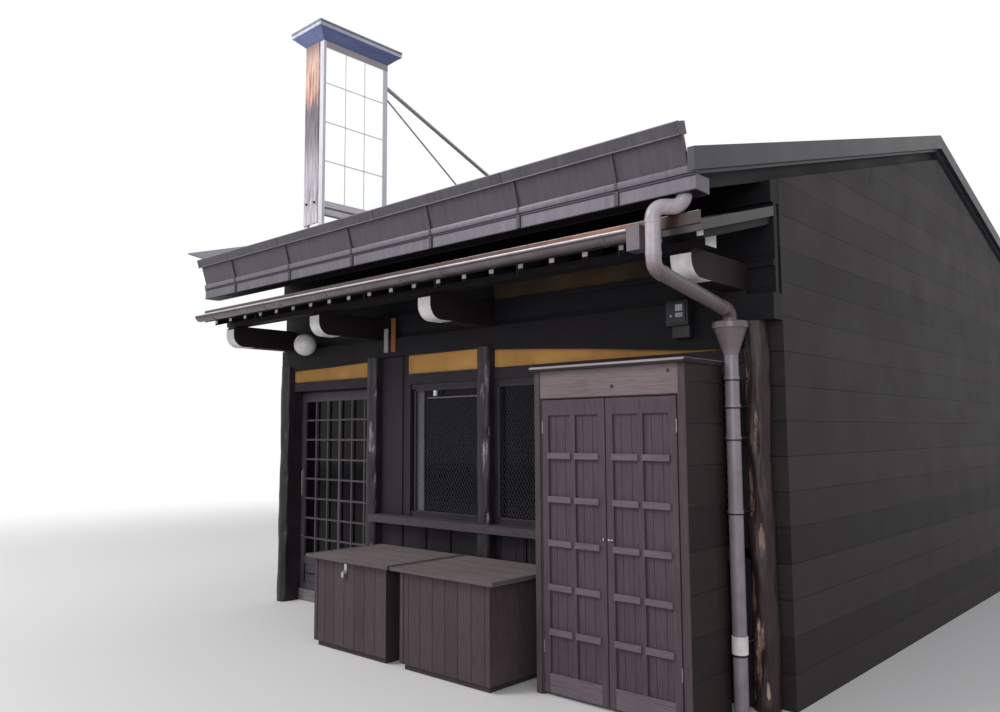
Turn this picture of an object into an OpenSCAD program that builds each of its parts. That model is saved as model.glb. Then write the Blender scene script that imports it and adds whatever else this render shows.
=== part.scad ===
// One-storey row townhouse: log posts, shaped bracket arms under a pent roof,
// a gabled sheet-metal roof with a leaning snow board, and a lantern tower.
// Millimetres. +X runs to the right along the street front, +Y into the house,
// +Z up. The origin is on the ground, below the middle of the floor.

/* [House] */
// Distance between the outer faces of the two party walls
house_w = 5200; // [4900:10:5600]
// Depth between the outer faces of the right front post and the right back post
house_d = 7260; // [6400:10:8200]
// Thickness of each party wall
party_t = 120; // [90:5:150]
// Thickness of the earth-coloured concrete floor
floor_t = 80; // [60:5:120]

/* [Posts and wall] */
// Narrow bay between post centres
bay_w = 1365; // [1300:5:1400]
// Distance of the left corner post's centre from the outer face of its party wall
left_inset = 109; // [100:1:150]
// Distance of the right corner post's centre from the outer face of its party wall
right_inset = 150; // [120:1:160]
// How far the three left posts stand out in front of the line of the right post
post_forward = 45; // [0:1:60]
// Diameter of a log post at its foot
post_foot_d = 172; // [150:2:190]
// Diameter of a log post under the beam
post_top_d = 156; // [140:2:180]
// Half the width left between the flats cut for the walls
post_flat = 64; // [50:1:68]
// Height of the underside of the long wall beam
beam_z = 2286; // [2200:2:2400]
// Height of the long wall beam
beam_h = 160; // [120:5:200]
// Thickness of the long wall beam
beam_t = 120; // [100:5:130]
// Underside of the lintel over door and windows
lintel_z = 2036; // [1900:2:2060]
// Height of the lintel
lintel_h = 88; // [80:2:140]
// Thickness of the lintels
lintel_t = 80; // [60:2:84]
// Thickness of the plaster bands
plaster_t = 40; // [30:2:60]
// Thickness of the boarding in the walls
board_t = 40; // [24:2:60]
// Width of the plain panel to the right of the second post
side_panel_w = 352; // [250:2:450]

/* [Windows] */
// Top of the plank shelf below the windows
shelf_z = 925; // [800:5:1000]
// Thickness of the plank shelf
shelf_t = 62; // [40:2:80]
// Depth of the plank shelf in front of the boarding
shelf_d = 130; // [100:5:160]
// Width of a window frame bar seen from the front
frame_w = 46; // [36:2:60]
// Depth of a window frame
frame_d = 56; // [40:2:70]
// Thickness of a glass sheet
glass_t = 5; // [4:1:8]

/* [Lattice door] */
// Width of the sliding lattice door
door_w = 1310; // [1200:5:1340]
// Thickness of the sliding door
door_t = 34; // [28:2:40]
// Width of the door's stiles and top rail
door_rail = 96; // [50:2:110]
// Height of the door's two lower rails
door_low_rail = 68; // [50:2:90]
// Number of lattice columns
door_cols = 6; // [4:1:8]
// Number of lattice rows
door_rows = 8; // [6:1:10]
// Width of a lattice bar
lattice_w = 17; // [12:1:24]
// Height of the solid panel at the foot of the door
kick_h = 185; // [150:5:350]
// Free space between the door and its tracks
door_gap = 6; // [5:0.5:10]
// How far the door slides open
door_travel = 1000; // [800:10:1050]
// Height of the lower track above the ground
sill_z = 110; // [90:5:130]

/* [Bracket arms and pent roof] */
// Width of a bracket arm
arm_w = 130; // [100:5:160]
// Height of a bracket arm
arm_h = 194; // [150:2:220]
// Reach of a bracket arm in front of the right post
arm_reach = 620; // [450:10:700]
// Radius of the curve under the arm's tip
arm_curve = 110; // [60:5:130]
// Fall of the arm's top from the pent purlin to its tip
arm_fall = 32; // [0:2:50]
// How far the right arm stands to the left of its post
right_arm_shift = 90; // [0:5:110]
// How much the right arm's underside is cut away in front of the wall beam
right_arm_lift = 30; // [0:2:50]
// Depth of the pent roof in front of the posts
pent_reach = 820; // [760:10:900]
// Width of a pent rafter
pent_rafter_w = 45; // [36:1:60]
// Depth of a pent rafter
pent_rafter_h = 46; // [36:1:60]
// Number of pent rafters
pent_rafter_n = 21; // [15:1:23]
// Thickness of the pent roof's boards and metal
pent_t = 60; // [30:2:70]
// Width of the pent purlin
pent_purlin_w = 124; // [80:2:130]
// Outer radius of the half-round gutter
gutter_r = 48; // [40:1:60]
// Wall of the half-round gutter
gutter_t = 4; // [3:0.5:6]

/* [Main roof] */
// Pitch of the main and pent roofs in degrees
pitch = 15.5; // [13:0.5:17]
// Reach of the main roof in front of the posts
eave_reach = 850; // [700:10:1000]
// Height of the roof's top surface at the front eave
eave_z = 3000; // [2960:5:3100]
// Thickness of the roof boards and metal
deck_t = 40; // [30:2:60]
// Depth of a main rafter
rafter_h = 78; // [60:2:100]
// Width of a main rafter
rafter_w = 60; // [45:5:80]
// Number of main rafters on each slope
rafter_n = 12; // [8:1:14]
// Overhang of the roof past the right party wall
verge_over = 5; // [0:1:40]
// Height of the box gutter under the eave
eave_box_h = 86; // [70:2:100]
// Depth of the box gutter under the eave
eave_box_d = 120; // [100:5:150]
// Lean of the snow board away from upright in degrees
snow_lean = 16.7; // [10:0.1:20]
// Height of the snow board along its face
snow_h = 236; // [180:2:300]
// Height of the cap strip along the snow board's top
snow_cap_h = 66; // [50:2:90]
// Width of the raised curb along the left verge
curb_w = 300; // [200:10:400]

/* [Lantern tower] */
// Width of the tower along the street
tower_w = 285; // [260:5:400]
// Depth of the tower
tower_d = 775; // [600:5:900]
// Distance of the tower's centre from the house's left face
tower_inset = 815; // [700:1:1000]
// Front of the tower from the front face of the posts
tower_front = 200; // [160:5:300]
// Height of the underside of the tower's cap
tower_z = 5340; // [4900:2:5600]
// Underside of the tower's white panels
tower_panel_z = 3790; // [3600:2:3900]
// Side of a rear tower post, and width of a front one
tower_post = 56; // [40:2:70]
// Depth of a front tower post
tower_front_post = 30; // [24:2:70]
// Overhang of the tower's cap at its sides
tower_over = 88; // [60:2:140]
// Overhang of the tower's cap at its front and back
tower_end_over = 102; // [60:2:140]

/* [Cupboard and chests] */
// Width of the storage cupboard
cup_w = 1090; // [900:5:1150]
// Depth of the storage cupboard
cup_d = 430; // [350:5:470]
// Height of the storage cupboard
cup_h = 2034; // [1800:2:2200]
// Distance of the cupboard from the house's right face
cup_inset = 275; // [270:5:400]
// Thickness of the cupboard's boards
cup_t = 26; // [18:1:32]
// Width of the cupboard's front stiles
cup_stile = 50; // [36:2:70]
// Height of the board above the cupboard's doors
cup_head = 185; // [100:5:220]
// Thickness of a cupboard door
cup_door_t = 26; // [20:1:32]
// Width of a chest
chest_w = 850; // [700:5:880]
// Depth of a chest
chest_d = 700; // [550:5:720]
// Height of a chest to the top of its lid
chest_h = 690; // [550:5:760]
// Thickness of the chests' boards
chest_t = 20; // [16:1:28]
// Thickness of a chest lid
lid_t = 22; // [18:1:30]
// Free space between the right chest's lid and the cupboard
chest_side_gap = 127; // [100:1:140]
// Free space between the two lids
chest_between = 30; // [10:1:60]
// Overhang of a chest lid at its two sides
lid_over = 65; // [40:1:80]
// Overhang of a chest lid in front
lid_nose = 48; // [30:1:60]
// Free space round doors and lids
leaf_gap = 6; // [5:0.5:8]

/* [Hidden] */
$fn = 48;

// Colours of the finishes
stain = "#3a302f";
stain_grey = "#4a4140";
weathered = "#6b625f";
metal_dark = "#4a4550";
metal_mauve = "#8b848c";
ochre = "#b8863f";
concrete = "#b9b3aa";
white = "#e8e8e6";

// Plan lines
half_w = house_w / 2;
half_d = house_d / 2;
inner_x = half_w - party_t;
post_r = post_foot_d / 2;
post_y = half_d - post_r;
wall_y = -post_y;
left_x = -half_w + left_inset;
right_x = half_w - right_inset;
post_xs = [left_x, left_x + bay_w, left_x + 2 * bay_w, right_x];
arm_xs = [post_xs[0], post_xs[1], post_xs[2], right_x - right_arm_shift];
back_flat = 60;
party_front = wall_y + back_flat;

// Roof lines: heights of the top surface and of what lies under it
rise = tan(pitch);
eave_y = half_d + eave_reach;
function roof_z(y) = eave_z + rise * (eave_y - abs(y));
rafter_drop = deck_t + rafter_h;
function rafter_low(y) = roof_z(y) - rafter_drop;
roof_left = -half_w + 90;
roof_right = half_w + verge_over;

// Wall heights
band_z = lintel_z + lintel_h;
arm_z = beam_z + beam_h;
arm_top = arm_z + arm_h;
shelf_low = shelf_z - shelf_t;

// Pent roof lines: the rafters' undersides lie on the purlin over the arms' tips
arm_tip_y = -half_d - arm_reach;
pent_purlin_y = arm_tip_y + 86;
pent_purlin_h = 60;
pent_purlin_inset = 100;
pent_y = -half_d - pent_reach;
pent_tip_y = pent_y + 70;
function pent_low(y) = arm_top + pent_purlin_h + rise * (y - pent_purlin_y);
upper_y = wall_y + board_t / 2;
pent_back = wall_y - board_t / 2;
pent_rafter_first = -half_w + 87;
pent_rafter_step = (house_w - 130) / (pent_rafter_n - 1);

// A prism along X with the outline given as [y, z] points
module along_x(x0, x1, outline) {
    translate([x0, 0, 0])
        rotate([90, 0, 90])
            linear_extrude(height = x1 - x0)
                polygon(outline);
}

// A prism along Y with the outline given as [x, z] points
module along_y(y0, y1, outline) {
    translate([0, y1, 0])
        rotate([90, 0, 0])
            linear_extrude(height = y1 - y0)
                polygon(outline);
}

// A box from its low corner to its high corner
module box(a, b) {
    translate(a) cube(b - a);
}

// Everything above the ground and under the roof's top surface less a drop
module under_roof(x0, x1, drop) {
    along_x(x0, x1, [
        [-eave_y, 0], [eave_y, 0], [eave_y, roof_z(eave_y) - drop],
        [0, roof_z(0) - drop], [-eave_y, roof_z(eave_y) - drop]
    ]);
}

// A layer of the front roof half between two depths below its top surface
module slope_layer(x0, x1, drop0, drop1) {
    along_x(x0, x1, [
        [-eave_y, roof_z(eave_y) - drop1], [0, roof_z(0) - drop1],
        [0, roof_z(0) - drop0], [-eave_y, roof_z(eave_y) - drop0]
    ]);
}

// The same thing on the front and on the back of the house
module front_and_back() {
    children();
    mirror([0, 1, 0]) children();
}

// Floor
module ground_floor() {
    color(concrete)
        box([-inner_x, door_y + track_w / 2, 0], [inner_x, -door_y - track_w / 2, floor_t]);
}

// Party walls, notched for the beams that they carry
module party_wall() {
    difference() {
        intersection() {
            under_roof(inner_x, half_w, rafter_drop);
            box([inner_x, party_front, 0], [half_w, -party_front, roof_z(0)]);
        }
        purlins(inner_x - 1, half_w + 1);
        ridge_beam(inner_x - 1, half_w + 1);
    }
}

module party_wall_left() {
    color(stain_grey) mirror([1, 0, 0]) party_wall();
}

module party_wall_right() {
    color(stain_grey) party_wall();
}

// Log posts: tapered round logs with flats where walls meet them. A log in
// front of the wall's line has a squared back that reaches to the wall.
module log_post(x, left_free, right_free, forward) {
    left = left_free ? post_r : post_flat;
    right = right_free ? post_r : post_flat;
    translate([x, wall_y - forward, 0]) {
        intersection() {
            cylinder(h = beam_z, d1 = post_foot_d, d2 = post_top_d);
            box([-left, -post_r, 0], [right, back_flat, beam_z]);
        }
        if (forward > 0)
            box([-post_flat, 0, 0], [post_flat, back_flat + forward, beam_z]);
    }
}

module post_at(i) {
    last = len(post_xs) - 1;
    log_post(post_xs[i], i == 0, i == last, (i == last) ? 0 : post_forward);
}

module log_posts() {
    color(stain)
        front_and_back()
            for (i = [0 : len(post_xs) - 1])
                post_at(i);
}

// Long beams on the posts, front and back
module wall_beams() {
    color(stain)
        front_and_back()
            box([-half_w, wall_y - beam_t / 2, beam_z], [half_w, wall_y + beam_t / 2, arm_z]);
}

// A piece that fills one bay between the flats of two posts
module bay_fill(i, z0, z1, t, x_shift = 0) {
    box([post_xs[i] + post_flat + x_shift, wall_y - t / 2, z0],
        [post_xs[i + 1] - post_flat, wall_y + t / 2, z1]);
}

module lintels() {
    color(stain) {
        bay_fill(0, lintel_z, band_z, lintel_t);
        bay_fill(1, lintel_z, band_z, lintel_t, side_panel_w);
        bay_fill(2, lintel_z, band_z, lintel_t);
        mirror([0, 1, 0])
            for (i = [0 : 2])
                bay_fill(i, lintel_z, band_z, lintel_t);
    }
}

module plaster_bands() {
    color(ochre) {
        bay_fill(0, band_z, beam_z, plaster_t);
        bay_fill(1, band_z, beam_z, plaster_t, side_panel_w);
        bay_fill(2, band_z, beam_z, plaster_t);
        mirror([0, 1, 0])
            for (i = [0 : 2])
                bay_fill(i, band_z, beam_z, plaster_t);
    }
}

// Boarded wall between the long beam and the roof beam, cut round the arms
module upper_wall(with_arms) {
    top = roof_beam_low(post_y);
    difference() {
        box([-half_w, wall_y - board_t / 2, arm_z], [half_w, wall_y + board_t / 2, top]);
        if (with_arms)
            for (x = arm_xs)
                box([x - arm_w / 2, wall_y - board_t, arm_z - 1],
                    [x + arm_w / 2, wall_y + board_t, arm_top]);
    }
}

module upper_walls() {
    color(stain) {
        upper_wall(true);
        mirror([0, 1, 0]) upper_wall(false);
    }
}

// Roof beams: two wall plates, two purlins and the ridge beam
roof_beam_w = 110;
roof_beam_h = 130;
purlin_y = half_d / 2;
function roof_beam_low(y) = round(rafter_low(y + roof_beam_w / 2) - roof_beam_h);

module slope_beam(x0, x1, y) {
    intersection() {
        under_roof(x0, x1, rafter_drop);
        box([x0, -y - roof_beam_w / 2, roof_beam_low(y)], [x1, -y + roof_beam_w / 2, roof_z(0)]);
    }
}

module purlins(x0, x1) {
    front_and_back() slope_beam(x0, x1, purlin_y);
}

module ridge_beam(x0, x1) {
    side = roof_beam_w / 2;
    low = round(rafter_low(side) - roof_beam_h);
    intersection() {
        under_roof(x0, x1, rafter_drop);
        box([x0, -side, low], [x1, side, roof_z(0)]);
    }
}

module roof_beams() {
    color(stain) {
        purlins(-half_w, half_w);
        ridge_beam(-half_w, half_w);
        front_and_back() slope_beam(-half_w, half_w, post_y);
    }
}

// Wall boarding: wainscot and plain panel in front, full boards behind
back_window_bay = 1;

module wall_boards() {
    color(stain) {
        bay_fill(1, 0, shelf_low, board_t);
        bay_fill(2, 0, shelf_low, board_t);
        box([post_xs[1] + post_flat, wall_y - board_t / 2, shelf_low],
            [post_xs[1] + post_flat + side_panel_w, wall_y + board_t / 2, beam_z]);
        mirror([0, 1, 0]) {
            bay_fill(0, 0, lintel_z, board_t);
            bay_fill(1, 0, shelf_low, board_t);
            bay_fill(2, 0, shelf_low, board_t);
        }
    }
}

// Plank shelf in front of the boarding, notched round the posts
module shelf_plank() {
    front = wall_y - board_t / 2 - shelf_d;
    back = wall_y + board_t / 2;
    color(weathered)
        difference() {
            box([post_xs[1] + 40, front, shelf_low], [post_xs[3] - post_r - 40, back, shelf_z]);
            for (i = [1, 2])
                post_at(i);
            box([post_xs[1], wall_y - board_t / 2, shelf_low - 1],
                [post_xs[1] + post_flat + side_panel_w, back + 1, shelf_z + 1]);
        }
}

// Window frames with their glass set back in a rebate
module window_frame(x0, x1, mullions) {
    z0 = shelf_z;
    z1 = lintel_z;
    y0 = wall_y - frame_d / 2;
    y1 = wall_y + frame_d / 2;
    step = (x1 - x0 - frame_w) / (mullions + 1);
    difference() {
        box([x0, y0, z0], [x1, y1, z1]);
        for (k = [0 : mullions])
            box([x0 + frame_w + k * step, y0 - 1, z0 + frame_w],
                [x0 + (k + 1) * step, y1 + 1, z1 - frame_w]);
        box([x0 + frame_w / 2, wall_y + 8, z0 + frame_w / 2],
            [x1 - frame_w / 2, wall_y + 8 + glass_t, z1 - frame_w / 2]);
    }
}

module window_sheet(x0, x1) {
    box([x0 + frame_w / 2, wall_y + 8, shelf_z + frame_w / 2],
        [x1 - frame_w / 2, wall_y + 8 + glass_t, lintel_z - frame_w / 2]);
}

window_left = post_xs[1] + post_flat + side_panel_w;

module window_frames() {
    color(stain_grey) {
        window_frame(window_left, post_xs[2] - post_flat, 0);
        window_frame(post_xs[2] + post_flat, post_xs[3] - post_flat, 1);
        mirror([0, 1, 0]) {
            window_frame(post_xs[1] + post_flat, post_xs[2] - post_flat, 0);
            window_frame(post_xs[2] + post_flat, post_xs[3] - post_flat, 1);
        }
    }
}

module window_glass() {
    color("#9fb0b8", 0.35) {
        window_sheet(window_left, post_xs[2] - post_flat);
        window_sheet(post_xs[2] + post_flat, post_xs[3] - post_flat);
        mirror([0, 1, 0]) {
            window_sheet(post_xs[1] + post_flat, post_xs[2] - post_flat);
            window_sheet(post_xs[2] + post_flat, post_xs[3] - post_flat);
        }
    }
}

// Sliding lattice door on tracks behind the posts
door_x0 = -inner_x + door_gap;
door_y = wall_y + back_flat + door_gap + 12 + door_t / 2;
track_lip = 12;
track_w = door_t + 2 * (door_gap + track_lip);
door_z0 = sill_z - 14 + door_gap;
door_z1 = lintel_z - door_gap;
track_right = door_x0 + door_w + door_travel + 30;
lip_h = 14;
middle_extra = 7;
kick_depth = 11;

module door_sill() {
    y0 = door_y - track_w / 2;
    y1 = door_y + track_w / 2;
    color(weathered)
        difference() {
            box([-inner_x, y0, 0], [inner_x, y1, sill_z]);
            box([-inner_x - 1, y0 + track_lip, sill_z - lip_h], [track_right + 1, y1 - track_lip, sill_z + 1]);
        }
}

module door_head_track() {
    y0 = door_y - track_w / 2;
    y1 = door_y + track_w / 2;
    low = lintel_z - lip_h;
    color(stain)
        difference() {
            box([-inner_x, y0, low], [inner_x, y1, lintel_z + 60]);
            box([-inner_x - 1, y0 + track_lip, low - 1], [inner_x + 1, y1 - track_lip, lintel_z]);
        }
}

module lattice_door() {
    x1 = door_x0 + door_w;
    y0 = door_y - door_t / 2;
    y1 = door_y + door_t / 2;
    open_x0 = door_x0 + door_rail;
    open_x1 = x1 - door_rail;
    open_z0 = door_z0 + door_low_rail + kick_h;
    open_z1 = door_z1 - door_rail;
    col_w = (open_x1 - open_x0 + lattice_w) / door_cols;
    row_h = (open_z1 - open_z0 - door_low_rail + lattice_w) / door_rows;
    lattice_z0 = open_z0 + door_low_rail;
    color(stain)
        difference() {
            box([door_x0, y0, door_z0], [x1, y1, door_z1]);
            for (c = [0 : door_cols - 1])
                for (r = [0 : door_rows - 1]) {
                    left_extra = (2 * c == door_cols) ? middle_extra : 0;
                    right_extra = (2 * (c + 1) == door_cols) ? middle_extra : 0;
                    box([open_x0 + c * col_w + left_extra, y0 - 1, lattice_z0 + r * row_h],
                        [open_x0 + (c + 1) * col_w - lattice_w - right_extra, y1 + 1,
                         lattice_z0 + (r + 1) * row_h - lattice_w]);
                }
            box([open_x0, y0 - 1, door_z0 + door_low_rail], [open_x1, y0 + kick_depth, open_z0]);
            box([open_x0, y1 - kick_depth, door_z0 + door_low_rail], [open_x1, y1 + 1, open_z0]);
        }
}

// Bracket arms: beams whose tips curve down and back into the underside, and
// whose tops fall away in front of the purlin that they carry
module bracket_arm(x, lift) {
    back = party_front;
    low = arm_z + lift;
    purlin_front = pent_purlin_y - pent_purlin_w / 2;
    translate([x - arm_w / 2, 0, 0])
        rotate([90, 0, 90])
            linear_extrude(height = arm_w)
                difference() {
                    polygon([
                        [arm_tip_y, arm_z], [back, arm_z], [back, arm_top],
                        [purlin_front, arm_top], [arm_tip_y, arm_top - arm_fall]
                    ]);
                    if (lift > 0)
                        translate([arm_tip_y - 1, arm_z - 1])
                            square([wall_y - beam_t / 2 - arm_tip_y + 1, lift + 1]);
                    difference() {
                        translate([arm_tip_y - 1, low - 1]) square(arm_curve + 1);
                        translate([arm_tip_y + arm_curve, low + arm_curve]) circle(r = arm_curve);
                    }
                }
}

module bracket_arms() {
    color(stain) {
        for (i = [0 : 2])
            bracket_arm(arm_xs[i], 0);
        bracket_arm(arm_xs[3], right_arm_lift);
    }
}

// Pent roof
module pent_layer(x0, x1, base, top) {
    along_x(x0, x1, [
        [pent_y, pent_low(pent_y) + base], [pent_back, pent_low(pent_back) + base],
        [pent_back, pent_low(pent_back) + top], [pent_y, pent_low(pent_y) + top]
    ]);
}

module pent_purlin() {
    color(stain)
        difference() {
            box([-half_w, pent_purlin_y - pent_purlin_w / 2, arm_top],
                [half_w - pent_purlin_inset, pent_purlin_y + pent_purlin_w / 2, arm_top + 2 * pent_purlin_h]);
            pent_layer(-half_w - 1, half_w + 1, 0, 3 * pent_purlin_h);
        }
}

module pent_rafters() {
    color(stain)
        for (k = [0 : pent_rafter_n - 1]) {
            x = pent_rafter_first + k * pent_rafter_step;
            difference() {
                pent_layer(x - pent_rafter_w / 2, x + pent_rafter_w / 2, 0, pent_rafter_h);
                box([x - pent_rafter_w, pent_y - 1, arm_top - 100], [x + pent_rafter_w, pent_tip_y, arm_top + 200]);
            }
        }
}

module pent_roof() {
    color(metal_dark)
        pent_layer(-half_w, half_w, pent_rafter_h, pent_rafter_h + pent_t);
}

// Half-round gutter along the pent roof, ending in a drop box
gutter_y = pent_y - gutter_r;
gutter_rise = 94;
gutter_z = pent_low(pent_y) + gutter_rise;
gutter_short = 400;
gutter_x1 = half_w - gutter_short;
gutter_end = 5;
drop_w = 84;
drop_h = 115;
drop_top = 22;

module pent_gutter() {
    color(metal_mauve) {
        difference() {
            translate([-half_w - gutter_end, gutter_y, gutter_z])
                rotate([0, 90, 0])
                    cylinder(h = gutter_x1 + half_w + gutter_end, r = gutter_r);
            translate([-half_w - gutter_end + gutter_t, gutter_y, gutter_z])
                rotate([0, 90, 0])
                    cylinder(h = gutter_x1 + half_w + gutter_end - gutter_t + 1, r = gutter_r - gutter_t);
            box([-half_w - 10, gutter_y - gutter_r - 1, gutter_z],
                [gutter_x1 + 2, gutter_y + gutter_r + 1, gutter_z + gutter_r + 1]);
        }
        difference() {
            box([gutter_x1, gutter_y - gutter_r, gutter_z - drop_h],
                [gutter_x1 + drop_w, gutter_y + gutter_r, gutter_z + drop_top]);
            box([gutter_x1 + gutter_t, gutter_y - gutter_r + gutter_t, gutter_z - drop_h + gutter_t],
                [gutter_x1 + drop_w - gutter_t, gutter_y + gutter_r - gutter_t, gutter_z + drop_top + 1]);
            translate([gutter_x1 - 1, gutter_y, gutter_z])
                rotate([0, 90, 0])
                    cylinder(h = gutter_t + 2, r = gutter_r - gutter_t);
        }
    }
}

// Points of a route whose inner corners are rounded, and the tube swept along it
bend_steps = 8;

function unit(v) = v / norm(v);

function corner_arc(a, b, c, bend_r) =
    let (d1 = unit(b - a), d2 = unit(c - b), turn = acos(d1 * d2),
         side = unit(d2 - d1 * (d1 * d2)), start = b - d1 * bend_r * tan(turn / 2))
    [for (k = [0 : bend_steps])
        let (t = turn * k / bend_steps)
        [start + d1 * bend_r * sin(t) + side * bend_r * (1 - cos(t)), d1 * cos(t) + side * sin(t)]];

function rounded_route(pts, bend_r) = concat(
    [[pts[0], unit(pts[1] - pts[0])]],
    [for (i = [1 : len(pts) - 2]) each corner_arc(pts[i - 1], pts[i], pts[i + 1], bend_r)],
    [[pts[len(pts) - 1], unit(pts[len(pts) - 1] - pts[len(pts) - 2])]]
);

module swept_tube(route, r, sides) {
    last = len(route) - 1;
    points = [
        for (p = route)
            let (u = unit(cross(p[1], [1, 0, 0])), v = cross(p[1], u))
            for (k = [0 : sides - 1])
                p[0] + r * (u * cos(360 * k / sides) + v * sin(360 * k / sides))
    ];
    walls = [
        for (i = [0 : last - 1], k = [0 : sides - 1])
            let (next = (k + 1) % sides)
            [i * sides + k, i * sides + next, (i + 1) * sides + next, (i + 1) * sides + k]
    ];
    polyhedron(points, concat(
        walls,
        [[for (k = [sides - 1 : -1 : 0]) k]],
        [[for (k = [0 : sides - 1]) last * sides + k]]
    ));
}

// A round bar from one point to another
module bar_between(a, b, r) {
    d = b - a;
    translate(a)
        rotate([0, acos(d[2] / norm(d)), atan2(d[1], d[0])])
            cylinder(h = norm(d), r = r);
}

// Downpipe: from the box gutter over the pent gutter and back to the wall
pipe_r = 42;
pipe_bend_r = 60;
lower_pipe_x = half_w - 213;
lower_pipe_y = -half_d - 112;
head_z = beam_z - 216;
head_h = 170;
head_rim = 26;
outlet_x = half_w - 100;
outlet_y = -eave_y + 40;
drop_shift = 127;
drop_x = outlet_x - drop_shift;
drop_y = pent_y - 2 * gutter_r - pipe_r + 35;
drop_low_z = arm_z + 34;
return_z = beam_z + 49;
pipe_sides = 20;
eave_box_low = eave_z - deck_t - eave_box_h;

module downpipe_upper() {
    run_z = eave_box_low - pipe_bend_r;
    color(metal_mauve)
        swept_tube(rounded_route([
            [outlet_x, outlet_y, eave_box_low], [outlet_x, outlet_y, run_z - 1],
            [drop_x, drop_y, run_z - 1], [drop_x, drop_y, drop_low_z],
            [lower_pipe_x, lower_pipe_y, return_z],
            [lower_pipe_x, lower_pipe_y, head_z + head_h + head_rim]
        ], pipe_bend_r), pipe_r, pipe_sides);
}

strap_parts = [0.192, 0.551, 0.758, 0.849, 0.929];
strap_zs = [for (part = strap_parts) round(part * head_z)];
strap_h = 24;
strap_t = 4;
strap_bar_r = 7;
head_top_r = 100;

module downpipe_lower() {
    color(metal_mauve) {
        translate([lower_pipe_x, lower_pipe_y, 0]) {
            cylinder(h = head_z, r = pipe_r);
            translate([0, 0, head_z]) cylinder(h = head_h, r1 = pipe_r, r2 = head_top_r);
            translate([0, 0, head_z + head_h]) cylinder(h = head_rim, r = head_top_r + 6);
            for (z = strap_zs)
                translate([0, 0, z]) cylinder(h = strap_h, r = pipe_r + strap_t);
        }
        difference() {
            for (z = strap_zs)
                bar_between([lower_pipe_x, lower_pipe_y, z + strap_h / 2],
                    [post_xs[3], wall_y, z + strap_h / 2], strap_bar_r);
            post_at(3);
        }
    }
}

// Main roof
rafter_tip_y = eave_y - eave_box_d - 4;
rafter_step = (2 * half_w - 160) / (rafter_n - 1);

module roof_rafters() {
    color(stain)
        front_and_back()
            for (k = [0 : rafter_n - 1]) {
                x = -half_w + 80 + k * rafter_step;
                intersection() {
                    slope_layer(x - rafter_w / 2, x + rafter_w / 2, deck_t, rafter_drop);
                    box([x - rafter_w, -rafter_tip_y, 0], [x + rafter_w, -1, roof_z(0)]);
                }
            }
}

module roof_slope() {
    slope_layer(roof_left, roof_right, 0, deck_t);
}

module roof_front() {
    color(metal_dark) roof_slope();
}

module roof_back() {
    color(metal_dark) mirror([0, 1, 0]) roof_slope();
}

ridge_reach = 150;
ridge_t = 24;

module ridge_cap() {
    color(metal_dark)
        intersection() {
            difference() {
                under_roof(roof_left, roof_right, -ridge_t);
                under_roof(roof_left - 1, roof_right + 1, 0);
            }
            box([roof_left, -ridge_reach, eave_z], [roof_right, ridge_reach, roof_z(0) + 2 * ridge_t]);
        }
}

// Box gutters under both eaves
eave_sheet = 6;

module eave_box() {
    y0 = -eave_y - 20;
    y1 = -rafter_tip_y;
    z1 = eave_z - deck_t;
    z0 = z1 - eave_box_h;
    difference() {
        box([roof_left, y0, z0], [roof_right, y1, z1]);
        box([roof_left + eave_sheet, y0 + eave_sheet, z0 + eave_sheet],
            [roof_right - eave_sheet, y1 - eave_sheet, z1 - eave_sheet]);
    }
}

module eave_boxes() {
    color(metal_mauve) front_and_back() eave_box();
}

// Snow board: leans outward over the eave, with a cap strip and struts behind
snow_t = 22;
snow_x0 = -half_w + 100;
snow_x1 = half_w - 40;
snow_y = -eave_y - 20;
cap_over = 20;
cap_front = 22;
cap_back = 30;

module snow_board() {
    color(metal_dark)
        translate([0, snow_y, eave_z + 2])
            rotate([snow_lean, 0, 0]) {
                box([snow_x0, 0, 0], [snow_x1, snow_t, snow_h]);
                box([snow_x0 - cap_over, -cap_front, snow_h - snow_cap_h],
                    [snow_x1, snow_t + cap_back, snow_h + 4]);
            }
}

// Verge board on the right, standing over the roof's edge
verge_h = 125;
verge_t = 40;
verge_drop = 22;
verge_nose = 100;

module verge_right() {
    y0 = -eave_y - verge_nose;
    color(metal_dark)
        along_x(roof_right, roof_right + verge_t, [
            [y0, roof_z(y0) - verge_drop], [0, roof_z(0) - verge_drop], [-y0, roof_z(y0) - verge_drop],
            [-y0, roof_z(y0) + verge_h - verge_drop], [0, roof_z(0) + verge_h - verge_drop],
            [y0, roof_z(y0) + verge_h - verge_drop]
        ]);
}

// Raised curb along the left verge, under a metal sheet that slopes up to the left
curb_board = 28;
curb_low = 140;
curb_fall = 18.4;
curb_sheet = 12;
curb_out = 300;
curb_gap = 40;

function curb_z(x) = curb_low + (curb_w - x) * tan(curb_fall);

module verge_curb_left() {
    inner = curb_w - curb_board;
    color(metal_dark)
        difference() {
            translate([roof_left, -eave_y + curb_gap, eave_z + curb_gap * rise])
                rotate([pitch, 0, 0])
                    along_y(0, (eave_y - ridge_reach - 2 * curb_gap) / cos(pitch), [
                        [0, 0], [curb_board, 0], [curb_board, curb_z(curb_board)], [inner, curb_z(inner)],
                        [inner, 0], [curb_w, 0], [curb_w, curb_z(curb_w) + curb_sheet],
                        [-curb_out, curb_z(-curb_out) + curb_sheet], [-curb_out, curb_z(-curb_out)],
                        [0, curb_z(0)]
                    ]);
            under_roof(roof_left - 1, roof_right, 0);
        }
}

// Lantern tower on the front slope
tower_x = -half_w + tower_inset;
tower_y0 = -half_d - tower_front;
tower_y1 = tower_y0 + tower_d;
tower_x0 = tower_x - tower_w / 2;
tower_x1 = tower_x + tower_w / 2;

tower_rail = 60;
tower_board = 24;
panel_t = 12;
panel_inset = 6;
board_below = 200;
cove_h = 87;
cap_t = 142;
cap_h = 170;

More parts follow.
